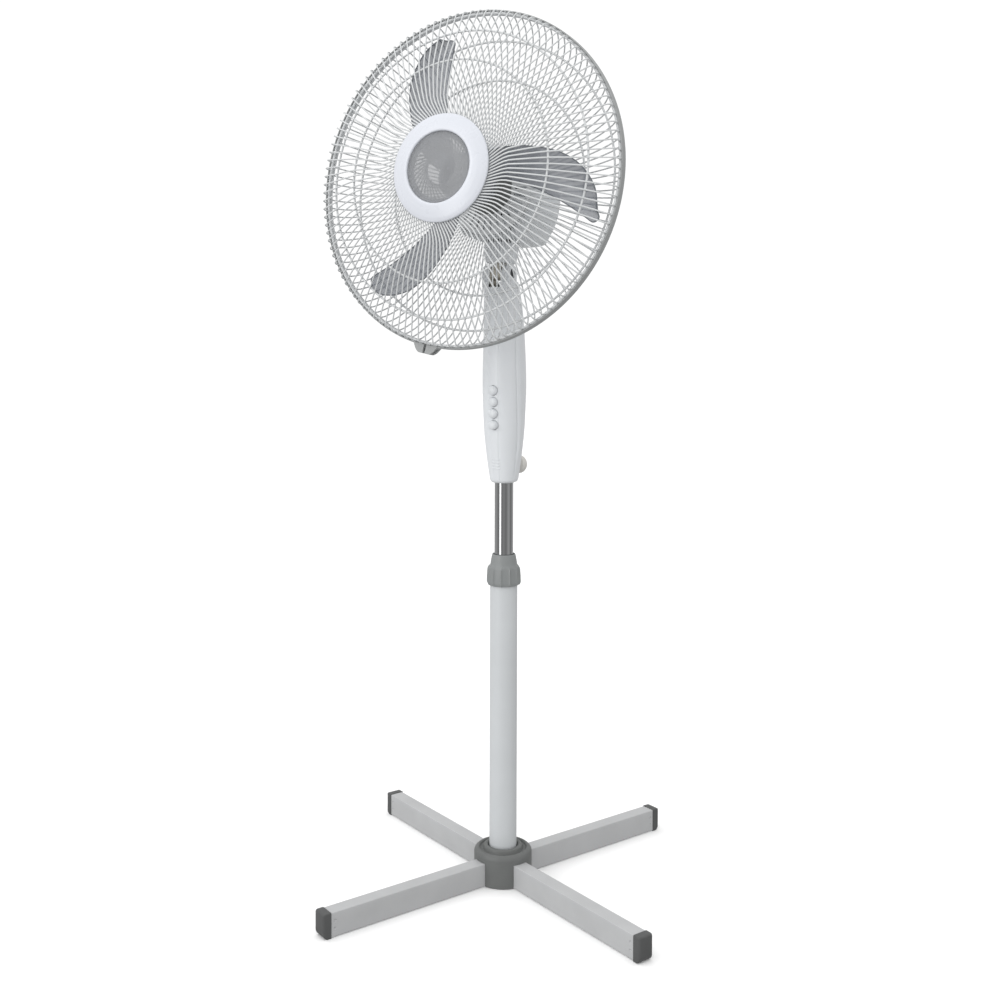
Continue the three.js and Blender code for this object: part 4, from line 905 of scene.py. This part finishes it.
# ------------------------------------------------------------------ badge
ring_outline = softened([(38, 59.9), (66.2, 59.9), (67.4, 60.8), (66.6, 62.6), (62, 64.6), (55, 66.6), (49, 67.9),
                         (46.2, 68.2), (44.8, 67.6), (44.3, 66.6), (44.3, 62.7), (38, 62.7)], 0.8, closed=True)
piece("badge_trim", turned(ring_outline, 192, closed=True), "motor", "badge_ring", ["badge_ring"], place=HEAD)
disc_outline = softened([(0, 63), (44, 63), (44, 65.7), (43.2, 66.3), (42.2, 65.9), (41.4, 66.2), (36, 66.9),
                         (24, 67.5), (0, 68)], 0.5)
piece("badge_plate", turned(disc_outline, 160), "motor", "badge_disc", ["badge_disc"], place=HEAD)

# ------------------------------------------------------------------ carried-over nodes
stood_for = {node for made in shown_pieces() for node in made.get("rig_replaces", [])}
slots = {}
for entry in frame["record"].get("materials", []):
    for node in entry.get("nodes", []):
        slots[node] = entry["slot"]
for node, carried in frame["nodes"].items():
    if node in stood_for:
        continue
    named = slots.get(node) or (carried.data.materials[0].name if carried.data.materials else "steel")
    chosen = LOOKS.get(named.split(".")[0], LOOKS["steel"])
    carried.data.materials.clear()
    carried.data.materials.append(chosen)
    carried.data.shade_smooth()
    carried.data.set_sharp_from_angle(angle=radians(32))
frame["nodes"]["tilt_bracket"].data.materials[0] = ZINC_PLATE

# ------------------------------------------------------------------ floor, world and lights
FLOOR_REACH = 9000
floor_corners = [Vector((x * FLOOR_REACH, y * FLOOR_REACH, 0)) for x, y in ((-1, -1), (1, -1), (1, 1), (-1, 1))]
floor = new_object("floor", (floor_corners, [[0, 1, 2, 3]]))
floor_paint = painted("floor_paint", (253, 253, 253), 0.9, tone=0.002, tone_size=400, grain=0.01, grain_size=3)
floor_paint.node_tree.nodes["Principled BSDF"].inputs["Specular IOR Level"].default_value = 0
floor.data.materials.append(floor_paint)
floor.visible_diffuse = floor.visible_glossy = False


def lamp(name, place, aim, width, height, power):
    data = bpy.data.lights.new(name, "AREA")
    data.shape, data.size, data.size_y, data.energy = "RECTANGLE", width, height, power
    made = bpy.data.objects.new(name, data)
    made.location = place
    made.rotation_mode = "QUATERNION"
    made.rotation_quaternion = (Vector(aim) - Vector(place)).to_track_quat("-Z", "Y")
    bpy.context.scene.collection.objects.link(made)
    return made


lamp("key", (-1.6, -2.6, 2.4), (0, 0, 0.6), 1.6, 1.6, 8)
lamp("strip", (-0.7, -2.4, 0.9), (0, 0, 0.6), 0.9, 2.2, 14).visible_diffuse = False

SOFT_FROM = (-0.15, -0.52, 0.84)
SOFT_LEVELS = (0.2, 1.53)
BACKDROP_LEVEL = 1.05
world = bpy.data.worlds.new("studio")
bpy.context.scene.world = world
world.use_nodes = True
nodes, links = world.node_tree.nodes, world.node_tree.links
nodes.clear()
output = nodes.new("ShaderNodeOutputWorld")
towards = nodes.new("ShaderNodeTexCoord")
bright = nodes.new("ShaderNodeBackground")
bright.inputs["Color"].default_value = (1, 1, 1, 1)
softbox = nodes.new("ShaderNodeVectorMath")
softbox.operation = "DOT_PRODUCT"
softbox.inputs[1].default_value = Vector(SOFT_FROM).normalized()
soft_level = nodes.new("ShaderNodeMapRange")
soft_level.inputs["From Min"].default_value, soft_level.inputs["From Max"].default_value = -1, 1
soft_level.inputs["To Min"].default_value, soft_level.inputs["To Max"].default_value = SOFT_LEVELS
links.new(towards.outputs["Generated"], softbox.inputs[0])
links.new(softbox.outputs["Value"], soft_level.inputs["Value"])
links.new(soft_level.outputs["Result"], bright.inputs["Strength"])
seen = nodes.new("ShaderNodeBackground")
seen.inputs["Color"].default_value = (1, 1, 1, 1)
seen.inputs["Strength"].default_value = BACKDROP_LEVEL
gloss = nodes.new("ShaderNodeBackground")
gloss.inputs["Strength"].default_value = 1
rays = nodes.new("ShaderNodeLightPath")
bands = nodes.new("ShaderNodeTexGradient")
bands.gradient_type = "RADIAL"
links.new(towards.outputs["Generated"], bands.inputs["Vector"])
stripes = nodes.new("ShaderNodeValToRGB")
ROOM_GREYS = ((0, 0.47), (0.0626, 0.43), (0.12, 0.28), (0.3, 0.3), (0.332, 0.38), (0.365, 0.27), (0.42, 0.28),
              (0.48, 0.47), (0.52, 0.47), (0.56, 0.31), (0.6, 0.22), (0.654, 0.48), (0.73, 0.65), (0.93, 0.53),
              (1, 0.47))
stripes.color_ramp.elements[0].position = ROOM_GREYS[0][0]
stripes.color_ramp.elements[1].position = ROOM_GREYS[-1][0]
for position, _ in ROOM_GREYS[1:-1]:
    stripes.color_ramp.elements.new(position)
for element, (_, grey) in zip(stripes.color_ramp.elements, ROOM_GREYS):
    element.color = (grey, grey, grey, 1)
links.new(bands.outputs["Color"], stripes.inputs["Fac"])
links.new(stripes.outputs["Color"], gloss.inputs["Color"])
glossy_mix, camera_mix = nodes.new("ShaderNodeMixShader"), nodes.new("ShaderNodeMixShader")
links.new(rays.outputs["Is Glossy Ray"], glossy_mix.inputs["Fac"])
links.new(bright.outputs[0], glossy_mix.inputs[1])
links.new(gloss.outputs[0], glossy_mix.inputs[2])
links.new(rays.outputs["Is Camera Ray"], camera_mix.inputs["Fac"])
links.new(glossy_mix.outputs[0], camera_mix.inputs[1])
links.new(seen.outputs[0], camera_mix.inputs[2])
links.new(camera_mix.outputs[0], output.inputs["Surface"])
bpy.context.scene.view_settings.view_transform = "Standard"
